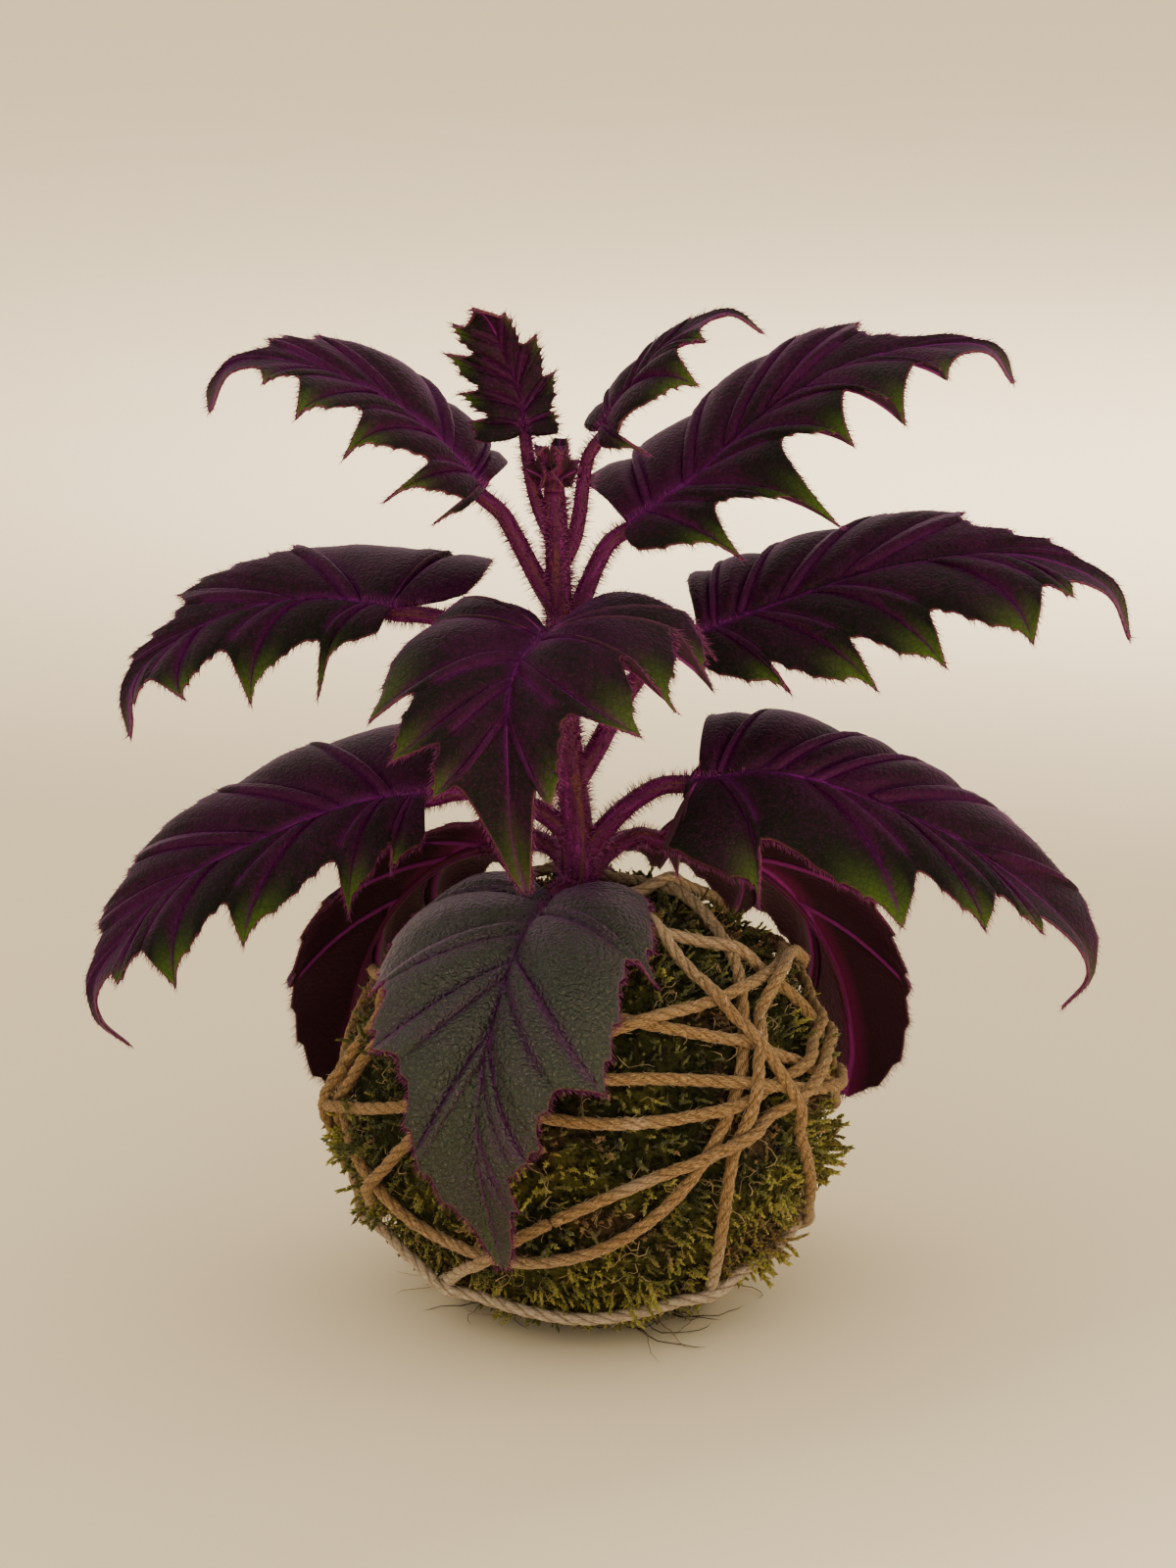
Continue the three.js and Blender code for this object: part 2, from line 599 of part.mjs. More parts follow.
// The leaf's stalk, from inside the stem up to the blade and some way under it
function stalk(leaf) {
  const curve = curveThrough(leaf.rib);
  const start = stemCentre(leaf.joint);
  const end = curve.getPointAt(0);
  const span = end.distanceTo(start);
  const outward = end.clone().sub(start).setZ(0).normalize();
  const leave = radians(STALK_RISE);
  const first = outward.multiplyScalar(Math.cos(leave)).addScaledVector(up, Math.sin(leave));
  const bezier = new THREE.CubicBezierCurve3(
    start,
    start.clone().addScaledVector(first, 0.4 * span),
    end.clone().addScaledVector(curve.getTangentAt(0), -0.35 * span),
    end,
  );
  const route = [0, 0.2, 0.4, 0.6, 0.8].map((t) => bezier.getPoint(t));
  const under = STALK_UNDER_BLADE.map(([share, thinned]) => {
    const { place, above } = ribFrame(curve, leaf, share);
    return place.addScaledVector(above, -thinned * leaf.stalk);
  });
  const whole = new THREE.CatmullRomCurve3([...route, ...under], false, "centripetal");
  const bladeStart = span / whole.getLength();
  const stage = (share) => {
    if (share < bladeStart) return (0.5 * share) / bladeStart;
    return 0.5 + (0.5 * (share - bladeStart)) / (1 - bladeStart);
  };
  const radiusAt = (share) => leaf.stalk * alongValues(STALK_RADII, stage(share));
  return bentRod(whole, radiusAt, STALK_SIDES, STALK_STEPS);
}

const leafSolid = (leaf) => largestBody(blade(leaf).add(stalk(leaf)).subtract(stemWithClearance));

// The growing tip: small curled leaves round a short cone on top of the stem
function growingTip() {
  const top = point(STEM[STEM.length - 1].at).addScaledVector(up, GAP);
  const upright = new THREE.ConeGeometry(BUD_CONE.radius, BUD_CONE.height, 8, 1).rotateX(Math.PI / 2);
  const cone = solidOf(upright.translate(0, 0, BUD_CONE.height / 2));
  const leaves = BUD_HEADINGS.map((heading) => {
    const turn = radians(heading);
    return blade({
      rib: BUD_RIB.map(([out, high]) => [Math.cos(turn) * out, Math.sin(turn) * out, high]),
      half: [BUD_WIDTH, BUD_WIDTH],
      roll: [0, 0],
      lift: [10, 10],
      fold: [70, 70],
      ear: [0, 0],
      base: [0.6, 0.6],
      cut: [0.3, 0.3],
      swell: [0.6, 0.6],
      back: [0, 0],
      claw: BUD_CLAW,
      teeth: [BUD_TEETH, BUD_TEETH],
    });
  });
  return largestBody(wasm.Manifold.union([cone, ...leaves])).translate([top.x, top.y, top.z]);
}

// The end that hangs the ball up, taken off its hook: it leaves its knot
// behind the stem, comes down the back of the ball and lies coiled on the table

const knotPlace = wrapMiddle(WRAP_TURNS[0], radians(KNOT_ANGLE));

function knot() {
  const ball = new THREE.SphereGeometry(1, 8, 6).scale(...KNOT_SIZE);
  return solidOf(ball.translate(knotPlace.x, knotPlace.y, knotPlace.z + KNOT_SIZE[2] / 3));
}

function hangRoute() {
  const height = WRAP_LIFT + 1.5 * TWINE_DIAMETER + GAP;
  const onBall = HANG_ON_BALL.map(([down, heading]) =>
    mossPoint(directionAt(radians(down), radians(heading)), height),
  );
  const outerTurn = coilOuter - TWINE_DIAMETER / 2;
  const atCoil = [COIL_CENTRE[0] + outerTurn, COIL_CENTRE[1] - HANG_END_GAP, TWINE_REST];
  return [...onBall, ...HANG_OFF_BALL.map(point), point(atCoil)];
}

function hangingTwine() {
  const path = new THREE.CatmullRomCurve3(hangRoute(), false, "centripetal");
  const section = new THREE.Shape();
  section.absarc(0, 0, TWINE_DIAMETER / 2, 0, 2 * Math.PI);
  const tube = new THREE.ExtrudeGeometry(section, {
    steps: HANG_STEPS,
    curveSegments: HANG_SIDES / 2,
    bevelEnabled: false,
    extrudePath: path,
  });
  return solidOf(tube);
}

const coilHalfWidth = (COIL_TURNS_ACROSS * TWINE_DIAMETER) / 2 + COIL_SPARE;
const coilOuter = COIL_RADIUS + coilHalfWidth;
const coilHeight = COIL_LAYERS * TWINE_DIAMETER + COIL_SPARE;

// The tie round the coil, grown on every side by some margin
function coilTie(margin) {
  const half = coilHalfWidth + GAP;
  const frame = (grow) => {
    const [side, low, high] = [half + grow, -grow, coilHeight - TIE_THICKNESS + GAP + grow];
    return [
      [-side, low],
      [side, low],
      [side, high],
      [-side, high],
    ].map(([across, up]) => new THREE.Vector2(across, up));
  };
  const shape = new THREE.Shape(frame(TIE_THICKNESS + margin));
  if (margin === 0) shape.holes.push(new THREE.Path(frame(0)));
  const depth = TIE_WIDTH + 2 * margin;
  const band = new THREE.ExtrudeGeometry(shape, { depth, bevelEnabled: false });
  band.rotateX(Math.PI / 2).translate(COIL_RADIUS, depth / 2, TIE_THICKNESS + 0.05);
  band.rotateZ(radians(TIE_ANGLE)).translate(COIL_CENTRE[0], COIL_CENTRE[1], 0);
  return solidOf(band);
}

function twineCoil() {
  const profile = [
    [-1, 0],
    [1, 0],
    [1, 1],
    [-1, 1],
    [-1, 0],
  ].map(([side, high]) => new THREE.Vector2(COIL_RADIUS + side * coilHalfWidth, high * coilHeight));
  const ring = solidOf(new THREE.LatheGeometry(profile, 24).rotateX(Math.PI / 2));
  return ring.translate([COIL_CENTRE[0], COIL_CENTRE[1], 0]);
}

// Colours and finishes, as seen on the plant
const finish = (color, roughness) => new THREE.MeshStandardMaterial({ color, roughness, metalness: 0 });
const leafGreen = finish(0x2b2330, 0.6);
const velvetPurple = finish(0x6a1560, 0.75);
const moss = finish(0x5a5f22, 0.95);
const soil = finish(0x2c2018, 0.95);
const jute = finish(0xb08a5a, 0.85);

const plant = new THREE.Group();

function addPart(name, solid, material) {
  const mesh = new THREE.Mesh(geometryOf(solid), material);
  mesh.name = name;
  plant.add(mesh);
}

addPart("soil_ball", soilBall(), soil);
addPart("moss_cover", mossCover(), moss);
addPart("twine_wrap", twineWrap(), jute);
addPart("main_stem", stemSolid, velvetPurple);
addPart("growing_tip", growingTip(), velvetPurple);
for (const [name, leaf] of Object.entries(LEAVES)) addPart(name, leafSolid(leaf), leafGreen);
addPart("hanging_twine", hangingTwine(), jute);
addPart("hanging_twine_coil", twineCoil().subtract(coilTie(GAP)), jute);
addPart("coil_tie", coilTie(0), jute);

export default plant;
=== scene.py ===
import math

import bpy
import numpy as np
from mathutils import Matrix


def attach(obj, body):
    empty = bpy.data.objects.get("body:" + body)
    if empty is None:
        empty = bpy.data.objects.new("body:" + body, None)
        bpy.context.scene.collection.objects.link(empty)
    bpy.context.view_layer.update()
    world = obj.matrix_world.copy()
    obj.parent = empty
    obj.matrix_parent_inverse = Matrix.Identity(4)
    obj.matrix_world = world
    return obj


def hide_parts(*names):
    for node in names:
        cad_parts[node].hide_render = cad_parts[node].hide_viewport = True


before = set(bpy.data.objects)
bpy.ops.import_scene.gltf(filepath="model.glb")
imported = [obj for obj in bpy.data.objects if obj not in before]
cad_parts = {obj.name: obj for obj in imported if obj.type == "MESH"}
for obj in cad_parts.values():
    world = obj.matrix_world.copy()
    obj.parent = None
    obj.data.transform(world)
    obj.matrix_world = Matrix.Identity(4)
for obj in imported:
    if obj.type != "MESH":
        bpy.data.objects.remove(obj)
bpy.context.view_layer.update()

# Camera, floor and lights
# The photographer stands a little above the plant and looks at the middle of it. The plant
# rests on a plain pale table under soft light that comes mostly from the upper right.
mm = 0.001
camera_rise = math.radians(15)
camera_reach = 900 * mm
look_at = np.array([0, 0, 121.4 * mm])

camera_data = bpy.data.cameras.new("camera")
camera_data.sensor_width = 36
camera_data.lens = 92.05
camera = bpy.data.objects.new("camera", camera_data)
camera.location = look_at + camera_reach * np.array([0, -math.cos(camera_rise), math.sin(camera_rise)])
camera.rotation_euler = (math.pi / 2 - camera_rise, 0, 0)
bpy.context.scene.collection.objects.link(camera)
bpy.context.scene.camera = camera


def new_material(name, roughness, gloss):
    """A material, whose tree takes the nodes that are added next."""
    global tree, shader
    material = bpy.data.materials.new(name)
    material.use_nodes = True
    tree = material.node_tree
    shader = tree.nodes["Principled BSDF"]
    shader.inputs["Base Color"].default_value = (0.5, 0.5, 0.5, 1)
    shader.inputs["Roughness"].default_value = roughness
    shader.inputs["Specular IOR Level"].default_value = gloss
    return material


def add_node(kind, values=(), **settings):
    """A node with its settings, and with values or links on its inputs."""
    node = tree.nodes.new(f"ShaderNode{kind}")
    for setting, value in settings.items():
        setattr(node, setting, value)
    for socket, value in dict(values).items():
        if isinstance(value, bpy.types.NodeSocket):
            tree.links.new(value, node.inputs[socket])
        elif isinstance(value, tuple) and node.inputs[socket].type == "RGBA":
            node.inputs[socket].default_value = (*value, 1)
        else:
            node.inputs[socket].default_value = value
    return node


def object_place():
    return add_node("TexCoord").outputs["Object"]


def mix_colors(share, first, second, way="MIX"):
    return add_node("Mix", {0: share, 6: first, 7: second}, data_type="RGBA", blend_type=way).outputs[2]


def fitted(value, low, high, start=0.0, end=1.0):
    """A value stretched from one range to another, smoothly and no further."""
    ranges = {"Value": value, "From Min": low, "From Max": high, "To Min": start, "To Max": end}
    return add_node("MapRange", ranges, interpolation_type="SMOOTHSTEP").outputs["Result"]


def grain(place, scale, detail=3.0, roughness=0.5):
    """Noise from 0 to 1."""
    values = {"Vector": place, "Scale": scale, "Detail": detail, "Roughness": roughness}
    return add_node("TexNoise", values).outputs["Fac"]


def sums(way, first, second=0.0, third=0.0):
    return add_node("Math", {0: first, 1: second, 2: third}, operation=way).outputs[0]


def set_look(color, relief=None, high=0.0003, strength=1.0, sheen=0.0, nap_roughness=0.5, tint=(1, 1, 1)):
    """The newest material's colour, its relief some metres high, and its sheen."""
    tree.links.new(color, shader.inputs["Base Color"])
    if relief:
        bump = add_node("Bump", {"Strength": strength, "Distance": high, "Height": relief})
        tree.links.new(bump.outputs[0], shader.inputs["Normal"])
    shader.inputs["Sheen Weight"].default_value = sheen
    shader.inputs["Sheen Roughness"].default_value = nap_roughness
    shader.inputs["Sheen Tint"].default_value = (*tint, 1)


bpy.ops.mesh.primitive_circle_add(vertices=96, radius=9, fill_type="NGON")
floor = bpy.context.object
floor.name = "table"
floor.data.materials.append(new_material("table_top", 0.9, 0.1))
set_look(mix_colors(grain(object_place(), 6, 5), (0.97, 0.82, 0.56), (0.99, 0.87, 0.63)))

world = bpy.data.worlds.new("studio")
world.use_nodes = True
sky = world.node_tree.nodes["Background"].inputs
sky["Color"].default_value = (1.0, 0.88, 0.7, 1)
sky["Strength"].default_value = 1.25
bpy.context.scene.world = world

for name, place, size, power, color in [
    ("key_light", (0.55, -0.75, 0.95), 0.3, 120, (1, 0.93, 0.82)),
    ("fill_light", (-0.95, -0.55, 0.5), 0.9, 8, (1, 0.95, 0.9)),
    ("back_light", (0.25, 0.85, 0.75), 0.6, 22, (1, 0.92, 0.8)),
]:
    light_data = bpy.data.lights.new(name, "AREA")
    light_data.size = size
    light_data.energy = power
    light_data.color = color
    light = bpy.data.objects.new(name, light_data)
    light.location = place
    aim = look_at - place
    light.rotation_euler = (math.acos(-aim[2] / np.linalg.norm(aim)), 0, math.atan2(aim[0], -aim[1]))
    bpy.context.scene.collection.objects.link(light)

# Hanging twine
# The longer end of the twine, which the ball is hung up by, taken off its hook. It is three
# plies of golden jute twisted together, limp and hairy. It comes down the back of the ball,
# lies on the table in a small coil of six turns, and ends in a knot.
ball_radius, ball_half_height, ball_centre_z = 54, 50, 47.5
crown_dip, crown_dip_radius = 4, 20
moss_bump = 1.4
twine_diameter = 3
wrap_lift = 0.95
touching_gap = 0.35
full_turn = 2 * math.pi


def unit(vectors):
    return vectors / np.maximum(np.linalg.norm(vectors, axis=-1, keepdims=True), 1e-9)


def heading_of(down, heading):
    """The directions at angles down from the top and headings round the ball."""
    down, heading = np.broadcast_arrays(np.radians(down), np.radians(heading))
    return np.stack([np.sin(down) * np.cos(heading), np.sin(down) * np.sin(heading), np.cos(down)], axis=-1)


def ball_place(direction, height):
    """The places of the ball in some directions from its middle, raised by some height."""
    direction = unit(direction)
    flat = np.hypot(direction[..., 0], direction[..., 1])
    reach = 1 / np.hypot(flat / ball_radius, direction[..., 2] / ball_half_height)
    place = direction * (reach + height)[..., None]
    from_axis = np.hypot(place[..., 0], place[..., 1])
    dip = crown_dip * np.maximum(0, 1 - (from_axis / crown_dip_radius) ** 2)
    place[..., 2] += ball_centre_z - np.where(place[..., 2] > 0, dip, 0)
    return place


def moss_place(direction, height):
    """The same on the cushions of the moss."""
    x, y, z = np.moveaxis(direction, -1, 0)
    broad = np.sin(4.1 * x + 1.3) * np.cos(3.7 * y - 0.6) * np.sin(4.6 * z + 2.1)
    small = np.sin(9.3 * x - 2.2 * z) * np.sin(8.7 * y + 1.9) * np.cos(7.9 * z + 0.4)
    return ball_place(direction, moss_bump * (0.6 * broad + 0.4 * small) + height)


def smooth_line(points, power=0.5, fineness=24):
    """A smooth line through some points."""
    p = np.asarray(points, float)
    p = np.vstack([2 * p[0] - p[1], p, 2 * p[-1] - p[-2]])
    share = np.linspace(0, 1, fineness, endpoint=False)[:, None]
    line = []
    for a, b, c, d in zip(p[:-3], p[1:-2], p[2:-1], p[3:]):
        before, here, after = (max(np.linalg.norm(v), 1e-4) ** power for v in (b - a, c - b, d - c))
        leave = ((b - a) / before - (c - a) / (before + here) + (c - b) / here) * here
        arrive = ((c - b) / here - (d - b) / (here + after) + (d - c) / after) * here
        curve = (2 * b - 2 * c + leave + arrive) * share**3
        line.append(b + leave * share + (3 * c - 3 * b - 2 * leave - arrive) * share**2 + curve)
    return np.vstack([*line, p[-2:-1]])


def lengths_of(line):
    """How far along a line each of its points lies."""
    return np.r_[0, np.cumsum(np.linalg.norm(np.diff(line, axis=0), axis=1))]


def between(at, stations, points):
    """Points in between those that are given at some stations."""
    return np.stack([np.interp(at, stations, points[:, k]) for k in range(3)], -1)


def evenly(line, step):
    """The same line as points at even steps along it."""
    lengths = lengths_of(line)
    return between(np.linspace(0, lengths[-1], max(round(lengths[-1] / step), 2) + 1), lengths, line)


def ring_faces(rings, around, closed=False):
    """The faces between rings of points that have the same number round."""
    k, j = np.meshgrid(np.arange(rings if closed else rings - 1), np.arange(around), indexing="ij")
    a, b = k * around + j, k * around + (j + 1) % around
    return np.stack([a, b, b + around, a + around], -1).reshape(-1, 4) % (rings * around)


def tube_skin(line, section, twist=0.0, closed=False, radii=1.0):
    """The skin of a rod along a line. section gives the angles and radii of its outline,
    and twist how far it turns with each millimetre."""
    line = np.asarray(line, float)
    ahead = np.roll(line, -1, 0) - np.roll(line, 1, 0)
    if not closed:
        ahead[0], ahead[-1] = line[1] - line[0], line[-1] - line[-2]
    ahead = unit(ahead)
    sides = [unit(np.cross(ahead[0], [0.3, 0.2, 0.9]))]
    for step in [*ahead[1:], ahead[0]]:
        sides.append(unit(sides[-1] - step * (sides[-1] @ step)))
    along = lengths_of(line)
    turned = twist * along
    if closed:
        total = along[-1] + np.linalg.norm(line[0] - line[-1])
        slip = math.atan2(np.cross(sides[0], sides[-1]) @ ahead[0], sides[0] @ sides[-1])
        third = full_turn / 3
        turned = (round((twist * total + slip) / third) * third - slip) * along / total
    sides = np.array(sides[:-1])
    ups = np.cross(ahead, sides)
    angles, reaches = section
    angles = turned[:, None] + angles
    reach = (np.ones(len(line)) * radii)[:, None, None] * reaches[:, None]
    ring = reach * (np.cos(angles)[..., None] * sides[:, None] + np.sin(angles)[..., None] * ups[:, None])
    count, around = len(line), len(reaches)
    faces = [ring_faces(count, around, closed)]
    k, j = np.divmod(np.arange(len(faces[0])), around)
    far = np.r_[along, 2 * along[-1] - along[-2]]
    u, next_u, v, next_v = j / around, j / around + 1 / around, far[k], far[k + 1]
    marks = np.stack([u, v, next_u, v, next_u, next_v, u, next_v], -1).reshape(-1, 2)
    if not closed:
        faces += [np.arange(around)[None, ::-1], np.arange(around)[None] + (count - 1) * around]
        marks = np.vstack([marks, np.zeros((2 * around, 2))])
    return (line[:, None] + ring).reshape(-1, 3), faces, marks


def new_piece(name, skins, material):
    """One object of some skins in millimetres, each with its points, faces and marks."""
    start, faces = 0, []
    for skin_points, skin_faces, _ in skins:
        faces += [face + start for face in skin_faces]
        start += len(skin_points)
    corners = np.concatenate([face.ravel() for face in faces])
    sizes = np.concatenate([np.full(len(face), face.shape[1]) for face in faces])
    mesh = bpy.data.meshes.new(name)
    mesh.vertices.add(start)
    mesh.vertices.foreach_set("co", np.vstack([skin[0] for skin in skins]).ravel() * mm)
    mesh.loops.add(len(corners))
    mesh.loops.foreach_set("vertex_index", corners.astype(np.int32))
    mesh.polygons.add(len(sizes))
    mesh.polygons.foreach_set("loop_start", np.r_[0, np.cumsum(sizes)[:-1]].astype(np.int32))
    mesh.update(calc_edges=True)
    mesh.polygons.foreach_set("use_smooth", np.ones(len(sizes), bool))
    mesh.uv_layers.new(name="UVMap").data.foreach_set("uv", np.vstack([skin[2] for skin in skins]).ravel())
    piece = bpy.data.objects.new(name, mesh)
    bpy.context.scene.collection.objects.link(piece)
    mesh.materials.append(material)
    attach(piece, "root")
    return piece


def thread_skin(lines, thickness, mark=0.0):
    """The skin of thin hairs or threads that taper to a point. Every line has the same
    number of points."""
    lines = np.asarray(lines, float)
    many, count = lines.shape[:2]
    ahead = unit(np.gradient(lines, axis=1))
    leaning = np.cross(lines[:, -1] - lines[:, 0], [0.31, 0.17, 0.93])
    side = unit(leaning[:, None] - ahead * (leaning[:, None] * ahead).sum(-1, keepdims=True))
    up = np.cross(ahead, side)
    radius = (np.ones(many) * thickness)[:, None] / 2 * np.linspace(1, 0.45, count)
    angles = np.arange(3) * full_turn / 3
    ring = np.cos(angles)[:, None] * side[:, :-1, None] + np.sin(angles)[:, None] * up[:, :-1, None]
    rings = lines[:, :-1, None] + ring * radius[:, :-1, None, None]
    points = np.concatenate([rings.reshape(many, -1, 3), lines[:, -1:]], 1)
    each = 3 * (count - 1) + 1
    last = each - 4
    ends = [[2, 1, 0], *([last + j, last + (j + 1) % 3, each - 1] for j in range(3))]
    shares = (np.arange(each) // 3) / (count - 1)
    faces, marks = [], []
    for pattern in (np.array(ends), ring_faces(count - 1, 3)):
        if len(pattern):
            faces.append((pattern + (np.arange(many) * each)[:, None, None]).reshape(-1, pattern.shape[1]))
            tint = np.repeat(np.ones(many) * mark, pattern.size)
            marks.append(np.column_stack([tint, np.tile(shares[pattern].ravel(), many)]))
    return points.reshape(-1, 3), faces, np.vstack(marks)


ply_angles = np.radians([-60, -30, 0, 30])
ply_radius, ply_out = 1.0, 0.4
ply_reach = ply_out * np.cos(ply_angles) + np.sqrt(ply_radius**2 - (ply_out * np.sin(ply_angles)) ** 2)
plies_across = 2.82
twine_section = (
    np.concatenate([ply_angles + k * full_turn / 3 for k in range(3)]),
    np.tile(ply_reach, 3) * twine_diameter / plies_across,
)
twine_twist = full_turn / 14


def uv_marks():
    marks = add_node("UVMap", uv_map="UVMap").outputs["UV"]
    return add_node("SeparateXYZ", {0: marks}).outputs[:2]


jute = new_material("jute", 0.9, 0.1)
round_ply, along_ply = uv_marks()
lean = sums("MULTIPLY_ADD", along_ply, 0.06, round_ply)
strands = {"X": sums("MULTIPLY", lean, 9.0), "Y": sums("MULTIPLY", along_ply, 0.16)}
strands = add_node("CombineXYZ", strands).outputs[0]
fibres = grain(strands, 5.5, 5, 0.65)
threads = grain(strands, 2.2, 2)
ply = sums("FRACT", sums("MULTIPLY", round_ply, 3.0))
painted_groove_shade = fitted(sums("ABSOLUTE", sums("SUBTRACT", ply, 0.5)), 0.3, 0.5)
place = object_place()
height = add_node("SeparateXYZ", {0: place}).outputs["Z"]
golden = mix_colors(fitted(fibres, 0.36, 0.64), (0.055, 0.024, 0.008), (0.5, 0.31, 0.14))
pale = mix_colors(fitted(fibres, 0.3, 0.66), (0.24, 0.17, 0.11), (0.74, 0.62, 0.48))
faded = sums("MAXIMUM", fitted(height, 0.034, 0.01), fitted(height, 0.078, 0.098, 0.0, 0.45))
faded = sums("MAXIMUM", faded, fitted(grain(place, 28, 3), 0.58, 0.74, 0.0, 0.7))
color = mix_colors(faded, golden, pale)
color = mix_colors(fitted(threads, 0.62, 0.4, 0.0, 0.35), color, (0.12, 0.065, 0.03))
# Painted shade: the grooves between the plies are darkened.
color = mix_colors(sums("MULTIPLY", painted_groove_shade, 0.6), color, (0.05, 0.022, 0.008))
set_look(color, fibres, 0.0003, 0.7, sheen=0.25, tint=(0.9, 0.75, 0.55))

jute_fuzz = new_material("jute_fuzz", 0.8, 0.2)
set_look(mix_colors(uv_marks()[0], (0.36, 0.22, 0.1), (0.74, 0.6, 0.42)))
chance = np.random.default_rng(11)


def stray_fibres(line, per_mm, length=(1.4, 3.4)):
    """Loose fibres that stand off a strand of twine, as a skin."""
    many = int(len(line) * per_mm)
    k = chance.integers(1, len(line) - 1, many)
    ahead = unit(line[k + 1] - line[k - 1]) * chance.choice([-1, 1], many)[:, None]
    out = unit(np.cross(ahead, chance.normal(size=(many, 3))))
    long = chance.uniform(*length, many)[:, None]
    curl = unit(np.cross(ahead, out)) * chance.normal(0, 0.45, (many, 1))
    start = line[k] + out * 1.15
    lines = [
        start + ahead * long * 0.62 * t + (out * (0.72 * t - 0.24 * t * t) + curl * t * t) * long * 0.55
        for t in (0, 0.5, 1)
    ]
    lines = np.maximum(np.stack(lines, 1), [-1e3, -1e3, 0.3])
    return thread_skin(lines, chance.uniform(0.1, 0.17, many), chance.uniform(0, 1, many))


hang_on_ball = [(20.5, 93), (34, 88), (46, 83), (58, 77), (70, 71), (82, 66), (92, 63)]
hang_height = wrap_lift + 1.5 * twine_diameter + touching_gap
hang_points = [moss_place(heading_of(*where), hang_height) for where in hang_on_ball]
hang_points += [(28, 57, 28), (27.6, 60, 12), (27, 66, 3), (26.2, 75, 1.55), (25.7, 83.8, 1.55)]

coil_centre = np.array([6, 96])
tie_angle = 200
coil_radius = 16.5
layers = 1.55, 4.55
turn_radii = [19.5, 16.5, 13.5, 13.5, 16.5, 19.5]
last_turn = len(turn_radii) - 1
coil_turns = []
for degrees in range(0, last_turn * 360 + 216, 4):
    turn, angle = divmod(degrees, 360)
    after = min(turn + 1, last_turn)
    move = np.clip((angle - 290) / 70, 0, 1)
    move = move * move * (3 - 2 * move)
    radius = turn_radii[turn] + (turn_radii[after] - turn_radii[turn]) * move
    rise = layers[turn > 2] + (layers[after > 2] - layers[turn > 2]) * move
    if turn == 2:
        radius -= 1.6 * math.sin(math.pi * move)
    from_tie = math.radians((angle - tie_angle + 180) % 360 - 180) * coil_radius
    rise += 1.3 * math.exp(-((from_tie / 7) ** 2))
    turned = math.radians(angle)
    coil_turns.append((*(coil_centre + radius * np.array([math.cos(turned), math.sin(turned)])), rise))
tail = [(-7.6, 80.5, 3.9), (-4.9, 76.2, 2.3), (-2.6, 72.2, layers[0]), (-1.0, 68.6, layers[0])]
hang_line = evenly(smooth_line([*hang_points, *coil_turns, *tail], fineness=12), 1.0)

hanging_twine = new_piece("hanging_twine_rope", [tube_skin(hang_line, twine_section, twine_twist)], jute)


def overhand_knot(place, turn, size):
    """The line of a small tight knot."""
    t = np.linspace(0, full_turn, 60, endpoint=False)
    across, ahead = np.sin(t) + 2 * np.sin(2 * t), np.cos(t) - 2 * np.cos(2 * t)
    loop = np.stack([across, ahead, -1.05 * np.sin(3 * t)], 1)
    x, y = math.cos(turn), math.sin(turn)
    return loop * size @ np.array([[x, y, 0], [-y, x, 0], [0, 0, 1]]) + place


end_knot_line = evenly(overhand_knot(np.array([0.4, 65.4, 3.3]), 0.4, 1.3), 1.0)[:-1]
end_tail = smooth_line([(1.2, 62.6, 2.4), (2.0, 59.6, 1.7), (2.2, 56.8, 1.6)])
end_knot_skins = [
    tube_skin(end_knot_line, twine_section, twine_twist, closed=True),
    tube_skin(evenly(end_tail, 1.0), twine_section, twine_twist),
    stray_fibres(evenly(end_tail, 0.25), 2.5),
]
end_knot = new_piece("hanging_twine_end_knot", end_knot_skins, jute)

# Tie of the coil
# A short end of thinner twine wound three times round the coiled turns and pulled tight, so
# that the coil stays together.
tie_half, tie_low, tie_high = 5.3, 0.8, 8.0
tie_turns, tie_pitch, tie_thinner = 3, 1.25, 0.36
corner = [(-tie_half, 3), (-tie_half + 0.5, 1.3), (-tie_half + 2, tie_low), (tie_half - 2, tie_low)]
corner += [(tie_half - 0.5, 1.3), (tie_half, 3), (tie_half - 0.2, 6), (tie_half - 1.8, tie_high)]
corner += [(-tie_half + 1.8, tie_high), (-tie_half + 0.2, 6)]
tie_out = np.array([math.cos(math.radians(tie_angle)), math.sin(math.radians(tie_angle))])
tie_points = []
for k in range(tie_turns * len(corner) + 1):
    across, high = corner[k % len(corner)]
    along = tie_pitch * (k / len(corner) - tie_turns / 2)
    flat = coil_centre + tie_out * (coil_radius + across) + np.array([-tie_out[1], tie_out[0]]) * along
    tie_points.append((*flat, high))
tie_line = evenly(smooth_line(tie_points, fineness=8), 0.5)
tie_section = (twine_section[0], twine_section[1] * tie_thinner)
coil_tie = new_piece("coil_tie_twine", [tube_skin(tie_line, tie_section, full_turn / 4)], jute)
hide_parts("coil_tie")

hang_fuzz = new_piece("hanging_twine_fibres", [stray_fibres(hang_line, 1.3, (1.2, 2.6))], jute_fuzz)
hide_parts("hanging_twine", "hanging_twine_coil")

# Twine wrap
# The twine that holds the moss on the soil: one long piece of three-ply jute wound round the
# ball in every direction, each turn pressed into the moss and lying over the ones before it.
wrap_turns = [
    (48, 240, 28), (56, 100, 2), (24, 50, 17), (38, 148, 6), (17, 300, 31), (12, 110, 6),
    (100, 352, 48), (36, 165, -16), (16, 268, -25), (66, 24, 27), (58, 128, 26),
]
wander, small_wander = 4, 1.5
wrap_steps = 260
crossing_reach, crossing_rise, highest_crossing = 5.2, 2.6, 4.6
knot_angle = 102


